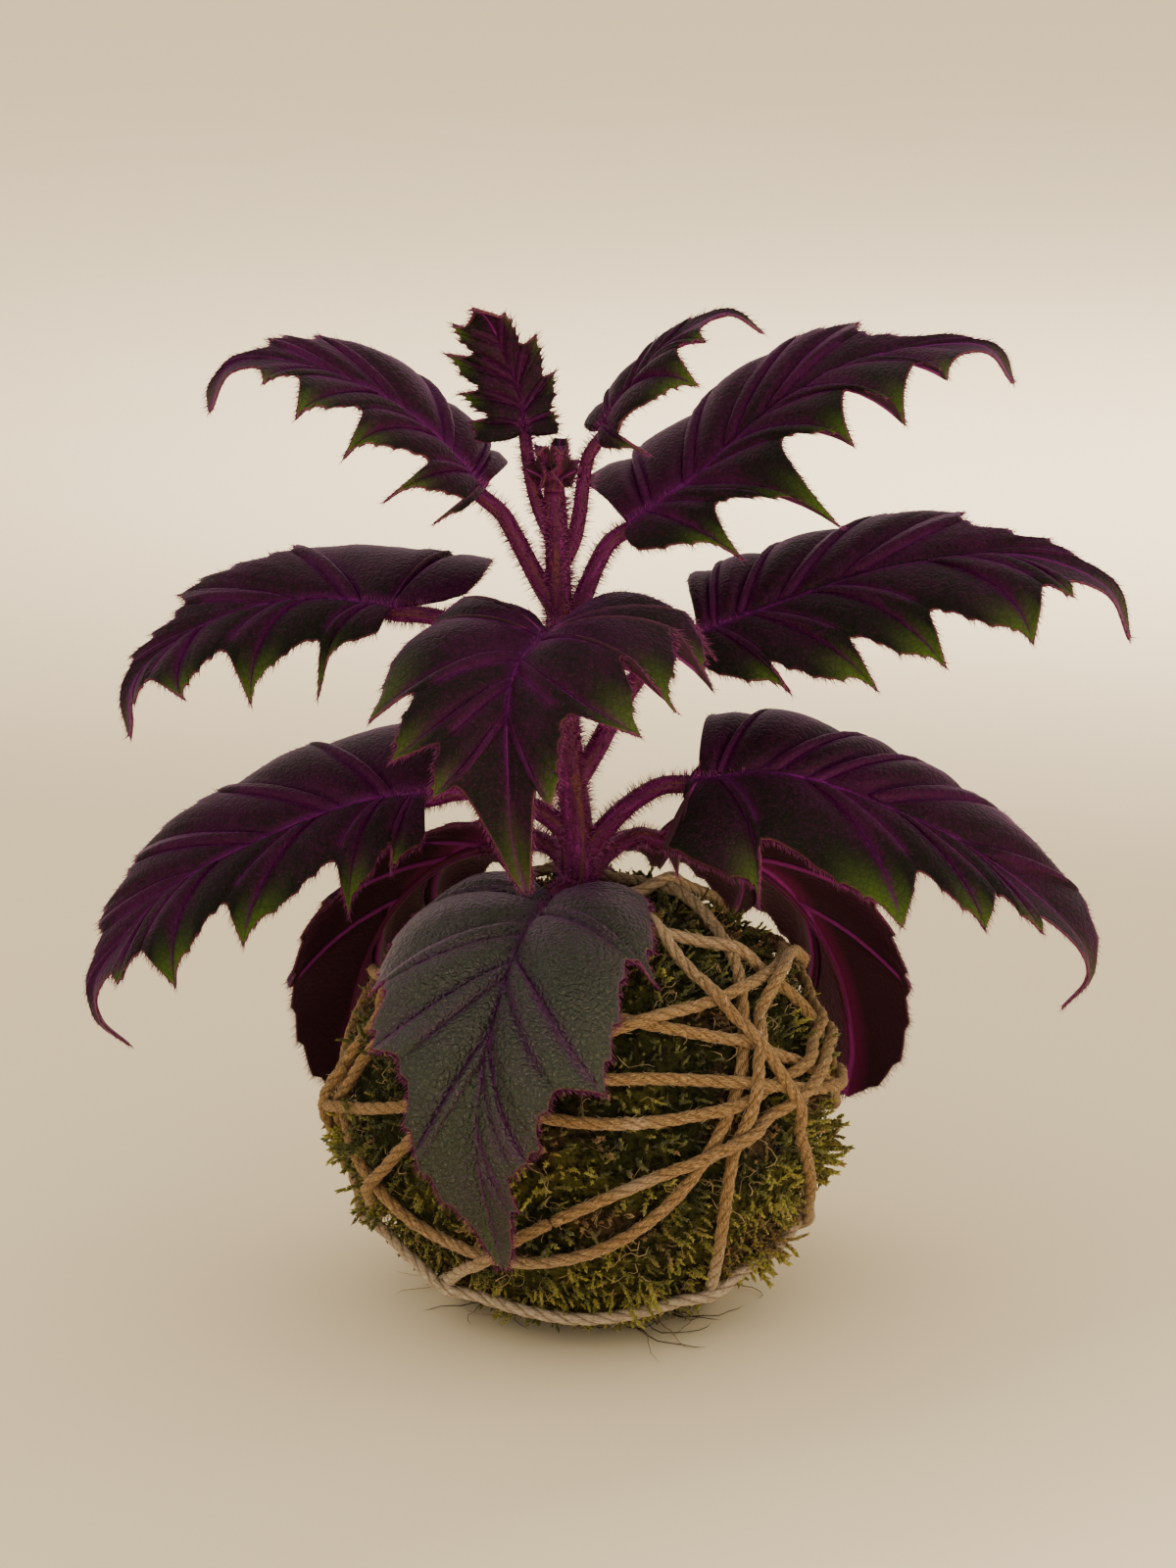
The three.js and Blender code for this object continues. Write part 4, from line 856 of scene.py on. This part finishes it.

# Leaves
# Each leaf is a thick soft blade with hooked teeth, quilted between its side veins, which
# are violet grooves like the midrib. The upper side is dark green under purple velvet, whose
# purple is partly painted sheen, with tiny pale specks painted on as glints of its hairs; the
# under side is wine purple. A hairy stalk joins it to the stem and runs on as its midrib.
vein_curve, first_veins_apart, pleat_height, quilting = -0.3, 0.003, 1.3, 1.05
tip_width, blade_thickness = 0.02, 0.55
shallow_cut, saw_tooth, saw_depth = 0.2, 7.5, 3.3
fine_tooth, fine_depth, fine_slope = 5.6, 1.7, 0.6
usual_length = 90
usual_leaf = dict(
    lift=(14, 14), cut=(0.3, 0.3), swell=(0.6, 0.6), back=(0, 0), base=(0.6, 0.6), ear=(0, 0),
    claw=0.12, finer=1, rounded=False,
)
leaves = {
    "leaf_upper_left": dict(
        joint=160, stalk=2.1, half=(30, 30), roll=(-30, -28, -14), fold=(50, 70),
        ear=(0, -0.02), base=(0.45, 0.7), cut=(0.55, 0.14), swell=(0.4, 0.8), back=(-0.01, 0.01),
        teeth=(
            [(0.02, 0.72), (0.18, 0.9), (0.46, 0.8), (0.68, 0.68), (0.8, 0.4)],
            [(0.12, 1.1), (0.34, 1.25), (0.58, 0.56), (0.72, 0.26), (0.86, 0.08)],
        ),
        rib=[(-23, 2, 188), (-34, 4, 200), (-48, 4, 210), (-66, 0, 217), (-78, -4, 216), (-82, -8, 207)],
    ),
    "leaf_upper_right": dict(
        joint=154, stalk=2.2, half=(29, 30), roll=(42, 34, 15), fold=(70, 40),
        ear=(0, 0.02), base=(0.85, 0.3), cut=(0.14, 0.62), swell=(0.8, 0.35), back=(0.01, 0.035),
        teeth=(
            [(0.14, 1.15), (0.34, 1.17), (0.5, 0.87), (0.62, 0.52), (0.86, 0.08)],
            [(0.14, 0.85), (0.35, 1.22), (0.55, 0.8), (0.72, 0.83), (0.83, 0.52)],
        ),
        rib=[(9, 4, 180), (24, 8, 190), (41, 10, 205), (60, 8, 216), (85, 3, 220), (93, -1, 212)],
    ),
    "leaf_middle_left": dict(
        joint=136, stalk=2.2, half=(23, 31), roll=(-32, -28, -14), fold=(60, 62),
        ear=(-0.02, 0.19), base=(0.4, 0.75), cut=(0.45, 0.14), swell=(0.3, 0.8), back=(0, 0.01),
        teeth=(
            [(0.21, 1.1), (0.57, 1.05), (0.82, 0.74), (0.91, 0.18)],
            [(-0.05, 1.08), (0.3, 0.86), (0.58, 0.44), (0.8, 0.14)],
        ),
        rib=[(-43, 8, 160), (-57, 12, 161), (-72, 12, 160), (-88, 8, 155), (-101, 2, 145), (-102, -3, 133)],
    ),
    "leaf_middle_right": dict(
        joint=120, stalk=2.3, half=(32, 28), roll=(38, 32, 15), fold=(75, 40),
        ear=(-0.03, 0), base=(0.15, 0.4), cut=(0.12, 0.4), swell=(0.8, 0.6), back=(0.01, -0.02),
        teeth=(
            [(0.12, 1.0), (0.24, 1.08), (0.4, 0.9), (0.57, 0.62), (0.8, 0.14)],
            [(0.15, 0.87), (0.33, 1.12), (0.53, 1.08), (0.78, 0.98), (0.83, 0.42)],
        ),
        rib=[(23, 6, 154), (40, 8, 160), (66, 8, 169), (94, 4, 173), (114, 0, 167), (120, -3, 155)],
    ),
    "leaf_middle_front": dict(
        joint=148, stalk=2.2, half=(39, 34), roll=(4, 0, 0), facing=-92, lift=(34, 34), fold=(84, 84),
        ear=(0.2, 0.05), base=(0.6, 0.5), swell=(0.55, 0.55), back=(-0.05, -0.03),
        teeth=(
            [(-0.15, 0.98), (-0.04, 1.1), (0.2, 1.0), (0.5, 0.77), (0.72, 0.25)],
            [(-0.06, 0.95), (0.12, 1.0), (0.42, 0.98), (0.56, 0.78), (0.68, 0.5)],
        ),
        rib=[
            (-9, -14, 159), (-15, -27, 155), (-17, -37, 148), (-17, -45, 136), (-16, -49, 122),
            (-13, -48, 110),
        ],
    ),
    "leaf_lower_left": dict(
        joint=107, stalk=2.3, half=(26, 33), roll=(-34, -30, -15), facing=184, fold=(60, 62),
        ear=(-0.02, 0.08), base=(0.5, 0.7), cut=(0.4, 0.14), swell=(0.5, 0.8), back=(-0.01, 0.01),
        teeth=(
            [(0.1, 0.75), (0.25, 1.0), (0.51, 0.88), (0.73, 0.84), (0.81, 0.38)],
            [(0.2, 1.0), (0.4, 0.93), (0.6, 0.66), (0.74, 0.38), (0.86, 0.12)],
        ),
        rib=[
            (-36, 4, 118), (-52, 3, 116), (-72, 0, 109), (-94, -5, 98), (-109, -10, 81), (-110, -12, 71),
            (-103, -13, 64),
        ],
    ),
    "leaf_lower_right": dict(
        joint=103, stalk=2.4, half=(31, 30), roll=(38, 30, 15), facing=-6, fold=(75, 50),
        ear=(-0.04, 0.01), base=(0.7, 0.35), cut=(0.12, 0.36), swell=(0.8, 0.55), back=(0.01, -0.02),
        teeth=(
            [(0.13, 0.8), (0.33, 1.08), (0.45, 1.1), (0.58, 1.0), (0.78, 0.5)],
            [(-0.03, 0.8), (0.17, 1.1), (0.51, 0.92), (0.67, 0.65), (0.77, 0.35)],
        ),
        rib=[
            (23, -2, 123), (42, -4, 125), (66, -6, 118), (90, -9, 106), (108, -12, 91), (112, -13, 81),
            (106, -14, 73),
        ],
    ),
    "leaf_lower_front": dict(
        joint=95, stalk=2.2, half=(32, 34), roll=(0, 0, 0), facing=-97, lift=(28, 28), fold=(80, 80),
        ear=(0.04, 0.04), cut=(0.13, 0.1), swell=(0.6, 0.7), back=(0.02, 0.02),
        teeth=(
            [(0.2, 1.0), (0.55, 0.83), (0.72, 0.34), (0.84, 0.18)],
            [(0.06, 0.95), (0.36, 0.96), (0.53, 0.75), (0.7, 0.38)],
        ),
        rib=[(-8, -13, 98), (-14, -33, 96), (-19, -52, 87), (-23, -64, 71), (-23, -66, 52), (-18, -58, 28)],
    ),
    "leaf_back_left": dict(
        joint=99, stalk=2.2, half=(24, 20), roll=(30, 15, 0), facing=130, lift=(14, 26), fold=(50, 30),
        base=(0.25, 0.5), cut=(0.1, 0.1), swell=(0.8, 0.8), rounded=True, claw=0.5,
        teeth=([(0.22, 0.52), (0.46, 0.75), (0.68, 0.9)], [(0.24, 1.0), (0.5, 0.95), (0.76, 0.5)]),
        rib=[(-18, 14, 105), (-32, 27, 97), (-46, 36, 82), (-55, 41, 62), (-58, 41, 46), (-56, 39, 33)],
    ),
    "leaf_back_right": dict(
        joint=96, stalk=2.2, half=(28, 28), roll=(-30, -15, 0), facing=50, lift=(26, 14), fold=(30, 50),
        base=(0.5, 0.3), cut=(0.1, 0.1), swell=(0.8, 0.8), rounded=True, claw=0.5,
        teeth=([(0.24, 0.9), (0.5, 0.85), (0.76, 0.45)], [(0.22, 0.6), (0.48, 0.7), (0.72, 0.72)]),
        rib=[(16, 16, 105), (31, 29, 98), (48, 38, 84), (59, 42, 65), (63, 42, 46), (61, 39, 33)],
    ),
    "leaf_young_left": dict(
        joint=176, stalk=1.7, half=(12, 10), roll=(0, 0, 0), facing=90, lift=(10, 10), fold=(30, 30),
        ear=(0.04, 0.04), base=(0.8, 0.7), cut=(0.4, 0.25), swell=(0.5, 0.5), finer=2,
        teeth=(
            [(0.1, 1.0), (0.35, 1.1), (0.6, 1.1), (0.82, 0.7)],
            [(0.1, 0.7), (0.3, 0.9), (0.55, 0.8), (0.8, 0.4)],
        ),
        rib=[(-14, 4, 201), (-15, 6, 208), (-18, 6, 217), (-22, 2, 226), (-25, -3, 229)],
    ),
    "leaf_young_right": dict(
        joint=170, stalk=1.7, half=(14, 15), roll=(30, 20, 10), lift=(15, 15), fold=(60, 60),
        ear=(0.04, 0.04), base=(0.6, 0.5), cut=(0.3, 0.5), swell=(0.5, 0.4), finer=1.6,
        teeth=([(0.15, 1.0), (0.42, 0.8), (0.62, 0.4)], [(0.05, 1.05), (0.55, 1.1), (0.68, 0.6)]),
        rib=[(3, 0, 202), (10, 0, 212), (19, -2, 222), (30, -4, 228), (38, -7, 224)],
    ),
}


def margin_stations(leaf, side, fineness, small_teeth):
    """Stations along one side's margin: share of the length, share of the half width, vein
    count, the share where the vein leaves the midrib, and the station's own count."""
    wanted = ("teeth", "cut", "swell", "back", "base", "ear", "half")
    teeth, cut, swell, back, base, ear, half = (leaf[key][side] for key in wanted)
    runs, run, count = [], [], 0

    def station(at, width, phase, root=None):
        nonlocal count
        run.append((at, width, phase, max(at, 0) if root is None else root, count))
        count += 1

    station(0, 0.04, 0.5)
    station(-ear, 0.3 * base, 0.6)
    station(-ear, base, 0.7)
    x, width = -ear, base
    for k, (tip, reach) in enumerate(teeth):
        start = max(x, 0)
        step = tip - start
        if k > 0:
            station(x, width, k + 0.5)
        wider = reach - width
        station(x + 0.5 * (tip - x), width + wider * swell, k + 0.76)
        station(x + 0.8 * (tip - x), width + wider * (0.5 * swell + 0.4), k + 0.92, start + 0.7 * step)
        station(tip, reach, k + 1, start + 0.8 * step)
        if not leaf["rounded"]:
            runs.append(run)
            run = [run[-1]]
        after = teeth[k + 1][1] if k + 1 < len(teeth) else reach
        width = (1 - cut) * (reach + after) / 2
        x = tip + back
        station(tip + 0.35 * back - 0.01 * cut, (reach + width) / 2, k + 1.2, max(x, 0) - 0.2 * step)
    for at, width in [(0, width), (0.5, leaf["claw"]), (0.8, 0.55 * leaf["claw"]), (1, tip_width)]:
        station(x + at * (1 - x), width, k + 1.5)
    runs.append(run)
    usual_size = np.array([usual_length, half])
    fine = []
    for run in runs:
        run = np.array(run, float)
        flat = np.column_stack([run[:, :2] * usual_size, np.zeros(len(run))])
        shape = smooth_line(flat, 0.5, fineness)
        others = between(np.linspace(0, len(run) - 1, len(shape)), range(len(run)), run[:, 2:])
        made = np.column_stack([shape[:, :2] / usual_size, others])
        fine.append(made if run is runs[-1] else made[:-1])
    fine = np.vstack(fine)
    along, past_vein = lengths_of(fine[:, :2] * usual_size), fine[:, 2] % 1
    if cut < shallow_cut:
        point = saw_depth * ((along / saw_tooth) % 1) ** 1.5
    else:
        point = np.maximum(0, fine_depth - np.abs(along % fine_tooth - fine_tooth / 2) / fine_slope)
        point = point * (past_vein > 0.52) * (past_vein < 0.93)
    fine[:, 1] += small_teeth * point / half * (fine[:, 1] > 0.15)
    return fine


def rib_frames(rib_line, leaf, share):
    """Places on the midrib with the blade's directions there."""
    lengths = lengths_of(rib_line)
    total = lengths[-1]
    at = np.clip(share, 0, 1) * total
    ahead = unit(between(at, lengths, unit(np.gradient(rib_line, axis=0))))
    base, tip = leaf["rib"][0], leaf["rib"][-1]
    heading = math.atan2(tip[1] - base[1], tip[0] - base[0])
    if "facing" in leaf:
        heading = math.radians(leaf["facing"])
    left = np.broadcast_to([-math.sin(heading), math.cos(heading), 0], ahead.shape)
    left = unit(left - ahead * (left * ahead).sum(-1, keepdims=True))
    above = np.cross(ahead, left)
    roll = np.radians(np.interp(at / total, np.linspace(0, 1, len(leaf["roll"])), leaf["roll"]))[..., None]
    place = between(at, lengths, rib_line) + ahead * (np.minimum(share, 0) * total)[..., None]
    return place, left * np.cos(roll) + above * np.sin(roll), above * np.cos(roll) - left * np.sin(roll)


def blade_places(rib_line, leaf, side, stations, t):
    """The blade's middle surface, for stations down and shares t across."""
    x, width, phase, root, count = (stations[:, k : k + 1] for k in range(5))
    root = np.maximum(root * (0.42 + 0.58 * root * root), first_veins_apart * count)
    along = root + (x - root) * ((1 - vein_curve) * t + vein_curve * t * t)
    lift = math.radians(leaf["lift"][side])
    bend = np.maximum(math.radians(leaf["fold"][side]) * width, 1e-3)
    reach = width * leaf["half"][side] / bend
    out = reach * (math.sin(lift) - np.sin(lift - bend * t))
    pleat = pleat_height * np.cos(full_turn * phase) * t * t * np.minimum(1, 1.3 * width**2)
    swollen = np.abs(np.sin(full_turn * phase)) ** 0.6 + 0.5 * np.abs(np.sin(math.pi * phase)) ** 0.6
    inward = np.minimum(1, np.sqrt(8 * t)) * (1 - 0.75 * t**6)
    full = quilting * (1.9 if leaf["cut"][side] < shallow_cut else 1.2)
    quilt = full * (swollen - 0.8) * inward * np.minimum(1, 2 * width)
    rise = reach * (np.cos(lift - bend * t) - math.cos(lift)) - pleat + quilt
    place, left, above = rib_frames(rib_line, leaf, along)
    sign = 1 if side == 0 else -1
    return place + left * (sign * out)[..., None] + above * rise[..., None]


def blade_value(name):
    """A value that each point of a blade carries."""
    return add_node("Attribute", attribute_name=name).outputs["Fac"]


def blade_material(name, dark, plum, green, nap_share, glint_strength, vein_tint, gloss=0.06, relief_high=0.0003):
    """The upper side of a blade: the colours of its ground, velvet, teeth and veins, how much
    velvet covers it, its purple partly painted sheen, and how strong its silvery specks of painted
    glints are."""
    material = new_material(name, 0.45, gloss)
    painted_glints, nap = group_values(velvet_grain_and_glints)
    place, rib = object_place(), blade_value("from_rib")
    wander = sums("MULTIPLY", sums("SUBTRACT", grain(place, 300, 3), 0.5), 1.4)
    side_vein = sums("ADD", blade_value("from_vein"), wander)
    cells = {"Vector": place, "Scale": 620.0, "Randomness": 0.9}
    net = add_node("TexVoronoi", cells, feature="DISTANCE_TO_EDGE").outputs["Distance"]
    # The purple of the velvet: partly its own colour, partly painted sheen, which the velvet value lowers
    # towards the margin of a toothed side.
    cover = sums("MULTIPLY", blade_value("velvet"), nap_share)
    cover = sums("ADD", cover, fitted(grain(place, 60, 3), 0.35, 0.7, -0.15, 0.15))
    cover = sums("ADD", cover, fitted(sums("MINIMUM", side_vein, rib), 4.5, 0.4, 0.0, 0.4))
    cover = sums("ADD", cover, fitted(nap, 0.35, 0.65, -0.12, 0.12))
    color = mix_colors(fitted(cover, 0.1, 0.95), dark, plum)
    color = mix_colors(blade_value("on_tooth"), color, green)
    # Painted highlight: silvery specks stand for glints on the blade's hairs.
    color = mix_colors(sums("MULTIPLY", painted_glints, glint_strength), color, (0.3, 0.3, 0.24))
    color = mix_colors(fitted(net, 0.12, 0.0, 0.0, 0.35), color, (0.008, 0.003, 0.006))
    color = mix_colors(fitted(side_vein, 1.9, 0.2, 0.0, 0.5), color, vein_tint)
    color = mix_colors(fitted(side_vein, 0.7, 0.1, 0.0, 0.5), color, vein_tint)
    color = mix_colors(fitted(rib, 3.0, 0.6, 0.0, 0.5), color, vein_tint)
    bright = mix_colors(1.0, vein_tint, (1.7, 1.7, 1.7), "MULTIPLY")
    color = mix_colors(fitted(rib, 1.1, 0.2, 0.0, 0.9), color, bright)
    color = mix_colors(fitted(blade_value("from_edge"), 0.6, 0.1, 0.0, 0.35), color, (0.15, 0.035, 0.06))
    relief = sums("ADD", sums("MULTIPLY", fitted(net, 0.0, 0.25), 0.5), nap)
    set_look(color, relief, relief_high, 0.6, 0.4, 0.3, (0.38, 0.06, 0.42))
    return material


blade_top = blade_material(
    "blade_top", (0.005, 0.006, 0.0035), (0.04, 0.003, 0.03), (0.07, 0.125, 0.012), 0.58, 0.05,
    (0.075, 0.005, 0.078),
)
# The lower front leaf: greener and glossier, with stronger painted glints in its specks.
blade_top_front = blade_material(
    "blade_top_front", (0.006, 0.013, 0.003), (0.024, 0.003, 0.026), (0.05, 0.08, 0.02), 0.25, 0.22,
    (0.04, 0.003, 0.04), 0.45, 0.001,
)

blade_under = new_material("blade_underside", 0.6, 0.12)
nap = group_values(velvet_grain_and_glints)[1]
vein, rib = blade_value("from_vein"), blade_value("from_rib")
color = mix_colors(nap, (0.07, 0.005, 0.03), (0.11, 0.008, 0.055))
color = mix_colors(fitted(rib, 2.5, 8.0, 0.0, 0.85), color, (0.012, 0.007, 0.007))
color = mix_colors(fitted(vein, 1.1, 0.3), color, (0.19, 0.015, 0.15))
color = mix_colors(fitted(rib, 2.2, 0.8), color, (0.26, 0.02, 0.2))
raised = sums("ADD", fitted(vein, 1.6, 0.0), sums("MULTIPLY", nap, 0.6))
set_look(color, raised, 0.0007, 0.8, sheen=0.25, tint=(0.7, 0.2, 0.5))

blade_rim = new_material("blade_rim", 0.5, 0.2)
set_look(mix_colors(group_values(velvet_grain_and_glints)[1], (0.09, 0.014, 0.035), (0.24, 0.08, 0.1)))

shares_across = np.array([0, 0.03, 0.08, 0.18, 0.31, 0.45, 0.6, 0.74, 0.86, 0.95, 1])
no_vein = 9.0


def new_leaf(name, leaf, top, small_teeth=0.55, fineness=9):
    """The blade, from a flat grid whose points are set on the blade's surface, its midrib,
    and its margin lines for the hairs."""
    rib_line = evenly(smooth_line(leaf["rib"], 0), 0.5)
    stations = [margin_stations(leaf, side, fineness, small_teeth) for side in (0, 1)]
    t = shares_across
    left, right = (blade_places(rib_line, leaf, side, stations[side], t[None]) for side in (0, 1))
    surface = np.concatenate([left[:, :0:-1], right], axis=1)
    columns, rows = surface.shape[:2]
    bpy.ops.mesh.primitive_grid_add(x_subdivisions=rows - 1, y_subdivisions=columns - 1, size=2)
    blade = bpy.context.object
    blade.name = name
    mesh = blade.data
    mesh.vertices.foreach_set("co", (surface.reshape(-1, 3) * mm).ravel())

    across = np.r_[-t[:0:-1], t][None]
    outward = np.abs(across)
    phase = np.where(across < 0, stations[0][:, 2:3], stations[1][:, 2:3])
    whole = np.round(phase)
    gaps = np.linalg.norm(np.diff(surface, axis=0), axis=2)
    steps = np.maximum(np.abs(np.diff(phase, axis=0)), 1e-3)
    per_phase = np.clip(np.vstack([gaps / steps, gaps[-1:] / steps[-1:]]), 0, 60)
    main_veins = np.where(whole >= 1, np.abs(phase - whole) * per_phase, no_vein)
    lesser_veins = np.abs(phase - np.floor(phase) - 0.5) * per_phase + 0.35 + 3 * (outward > 0.8)
    lesser_veins = np.where((phase > 1) & (phase < phase[-1] - 0.05), lesser_veins, no_vein)
    veins = np.minimum(main_veins, lesser_veins) + 1.2 * (outward > 0.93)
    widths = np.linalg.norm(np.diff(surface, axis=1), axis=2)
    lengths = np.concatenate([np.zeros((columns, 1)), np.cumsum(widths, axis=1)], axis=1)
    ribs = np.abs(lengths - lengths[:, rows // 2, None])
    edges = np.minimum(lengths, lengths[:, -1:] - lengths)
    # Sides with deep teeth, which mostly face the camera, get green tooth tips and less velvet towards the
    # margin; the fuller velvet elsewhere is partly painted sheen, as seen at a glancing angle.
    shaded = np.clip((np.array(leaf["cut"]) - 0.12) / 0.25, 0, 1)
    shaded = np.where(across < 0, shaded[0], shaded[1])
    on_tooth = np.clip(1 - np.abs(phase - np.maximum(whole, 1)) / 0.26, 0, 1)
    on_tooth = on_tooth * np.clip((outward - 0.68) / 0.32, 0, 1) * shaded
    end = np.clip((np.linspace(0, 1, columns)[:, None] - 0.93) / 0.07, 0, 1) * 0.6
    for attribute, values in [
        ("from_vein", veins * leaf["finer"]),
        ("from_rib", ribs * leaf["finer"]),
        ("from_edge", edges),
        ("on_tooth", np.maximum(on_tooth, end)),
        ("velvet", np.broadcast_to(1 - 0.6 * shaded * outward, (columns, rows))),
    ]:
        carried = mesh.attributes.new(attribute, "FLOAT", "POINT").data
        carried.foreach_set("value", values.astype(np.float32).ravel())

    for material in (top, blade_under, blade_rim, stem_skin):
        mesh.materials.append(material)
    mesh.polygons.foreach_set("use_smooth", np.ones(len(mesh.polygons), bool))
    thicken = blade.modifiers.new("thickness", "SOLIDIFY")
    thicken.thickness = blade_thickness * mm
    thicken.offset = 0
    thicken.material_offset = 1
    thicken.material_offset_rim = 2
    bpy.ops.object.modifier_apply(modifier=thicken.name)
    margin = np.vstack([surface[:, 0], surface[-1, 1:-1], surface[::-1, -1]])
    inside = np.vstack([surface[:, 2], surface[-3, 1:-1], surface[::-1, -3]])
    return blade, rib_line, margin, inside


def stalk_line(leaf, rib_line):
    """The middle of a leaf's stalk with its radii, from the stem to far under the blade."""
    start = between(leaf["joint"], stem_points[:, 2], stem_points)
    end = rib_line[0]
    span = np.linalg.norm(end - start)
    outward = unit((end - start) * [1, 1, 0])
    rise = math.radians(55)
    first = start + (outward * math.cos(rise) + np.array([0, 0, math.sin(rise)])) * 0.4 * span
    last = end - unit(rib_line[1] - rib_line[0]) * 0.35 * span
    route = [
        start * (1 - t) ** 3 + 3 * first * t * (1 - t) ** 2 + 3 * last * t * t * (1 - t) + end * t**3
        for t in (0, 0.2, 0.4, 0.6, 0.8)
    ]
    shares = np.array([0, 0.05, 0.12, 0.25, 0.4, 0.55, 0.7, 0.82])
    radii = leaf["stalk"] * np.array([0.85, 0.72, 0.56, 0.44, 0.35, 0.27, 0.19, 0.1])
    place, _, above = rib_frames(rib_line, leaf, shares)
    sunk = (radii + 0.12) * [0.8, 0.9, 1, 1, 1, 1, 1, 1]
    line = smooth_line([*route, *(place - above * sunk[:, None])], 0.5, 10)
    widths = np.r_[leaf["stalk"] * np.array([1.08, 1.03, 0.97, 0.92, 0.88]), radii]
    stages = np.linspace(0, len(widths) - 1, len(line))
    return line, np.interp(stages, range(len(widths)), widths)


def margin_hairs(margin, inside, apart, length):
    """The fringe of fine hairs along a blade's margin."""
    lengths = lengths_of(margin)
    at = np.arange(0.3, lengths[-1], apart)
    at = at + chance.uniform(-0.4, 0.4, len(at)) * apart
    root = between(at, lengths, margin)
    out = unit(root - between(at, lengths, inside))
    tip = root + unit(out + chance.normal(0, 0.28, out.shape)) * chance.uniform(*length, (len(at), 1))
    thickness = chance.uniform(0.17, 0.26, len(at))
    return thread_skin(np.stack([root - out * 0.1, tip], 1), thickness, chance.uniform(0, 0.55, len(at)))


round_section = (np.arange(12) * math.pi / 6, np.ones(12))
fringe_skins, stalk_hair_skins = [], []
for name, own in leaves.items():
    leaf = usual_leaf | own
    top = blade_top_front if name == "leaf_lower_front" else blade_top
    blade, rib_line, margin, inside = new_leaf(f"{name}_blade", leaf, top)
    line, widths = stalk_line(leaf, rib_line)
    stalk = new_piece("stalk", [tube_skin(line, round_section, 0.01, radii=widths)], stem_skin)
    blade = joined([blade, stalk])
    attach(blade, "root")
    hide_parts(name)
    fringe_skins.append(margin_hairs(margin, inside, 0.28, (1.2, 2.4)))
    shown = len(line) * 7 // 12
    stalk_hair_skins.append(rod_hairs(line[:shown], widths[:shown], 30, (1.5, 2.8)))
leaf_fringe = new_piece("leaf_margin_hairs", fringe_skins, hair_skin)
stalk_hairs = new_piece("leaf_stalk_hairs", stalk_hair_skins, hair_skin)

# Growing tip
# The youngest leaves, still small, curled and almost all magenta, packed round the end of
# the stem and furry with hairs.
bud_material = blade_material(
    "bud_top", (0.015, 0.012, 0.01), (0.05, 0.004, 0.04), (0.04, 0.05, 0.02), 0.7, 0.05, (0.09, 0.006, 0.08)
)
bud_top = stem_top + np.array([0, 0, touching_gap])
bud_rib = [(0.4, 0.8), (2.6, 4), (3.6, 8), (5.2, 10.4), (6.8, 8.6)]
bud = usual_leaf | dict(
    half=(4.5, 4.5), roll=(0, 0), lift=(10, 10), fold=(70, 70), claw=0.4, rounded=True, finer=4,
    teeth=([(0.45, 1)], [(0.45, 1)]),
)
buds, bud_hairs = [], []
for heading in (-125, -75, 75):
    turn = math.radians(heading)
    bud["rib"] = [bud_top + [math.cos(turn) * out, math.sin(turn) * out, high] for out, high in bud_rib]
    blade, _, margin, inside = new_leaf("bud", bud, bud_material, 0, 6)
    buds.append(blade)
    bud_hairs.append(margin_hairs(margin, inside, 0.2, (1.0, 2.0)))
cone_line = bud_top + np.array([[0, 0, high] for high in np.linspace(-0.3, 7, 9)])
cone = tube_skin(cone_line, round_section, radii=np.sqrt(np.linspace(1, 0.003, 9)) * 2.3)
growing_tip = joined([*buds, new_piece("bud_cone", [cone], stem_skin)])
growing_tip.name = "growing_tip_leaves"
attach(growing_tip, "root")
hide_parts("growing_tip")
bud_hairs.append(rod_hairs(cone_line, np.linspace(2.2, 0.8, 9), 30, (1.0, 2.2)))
tip_hairs = new_piece("growing_tip_hairs", bud_hairs, hair_skin)
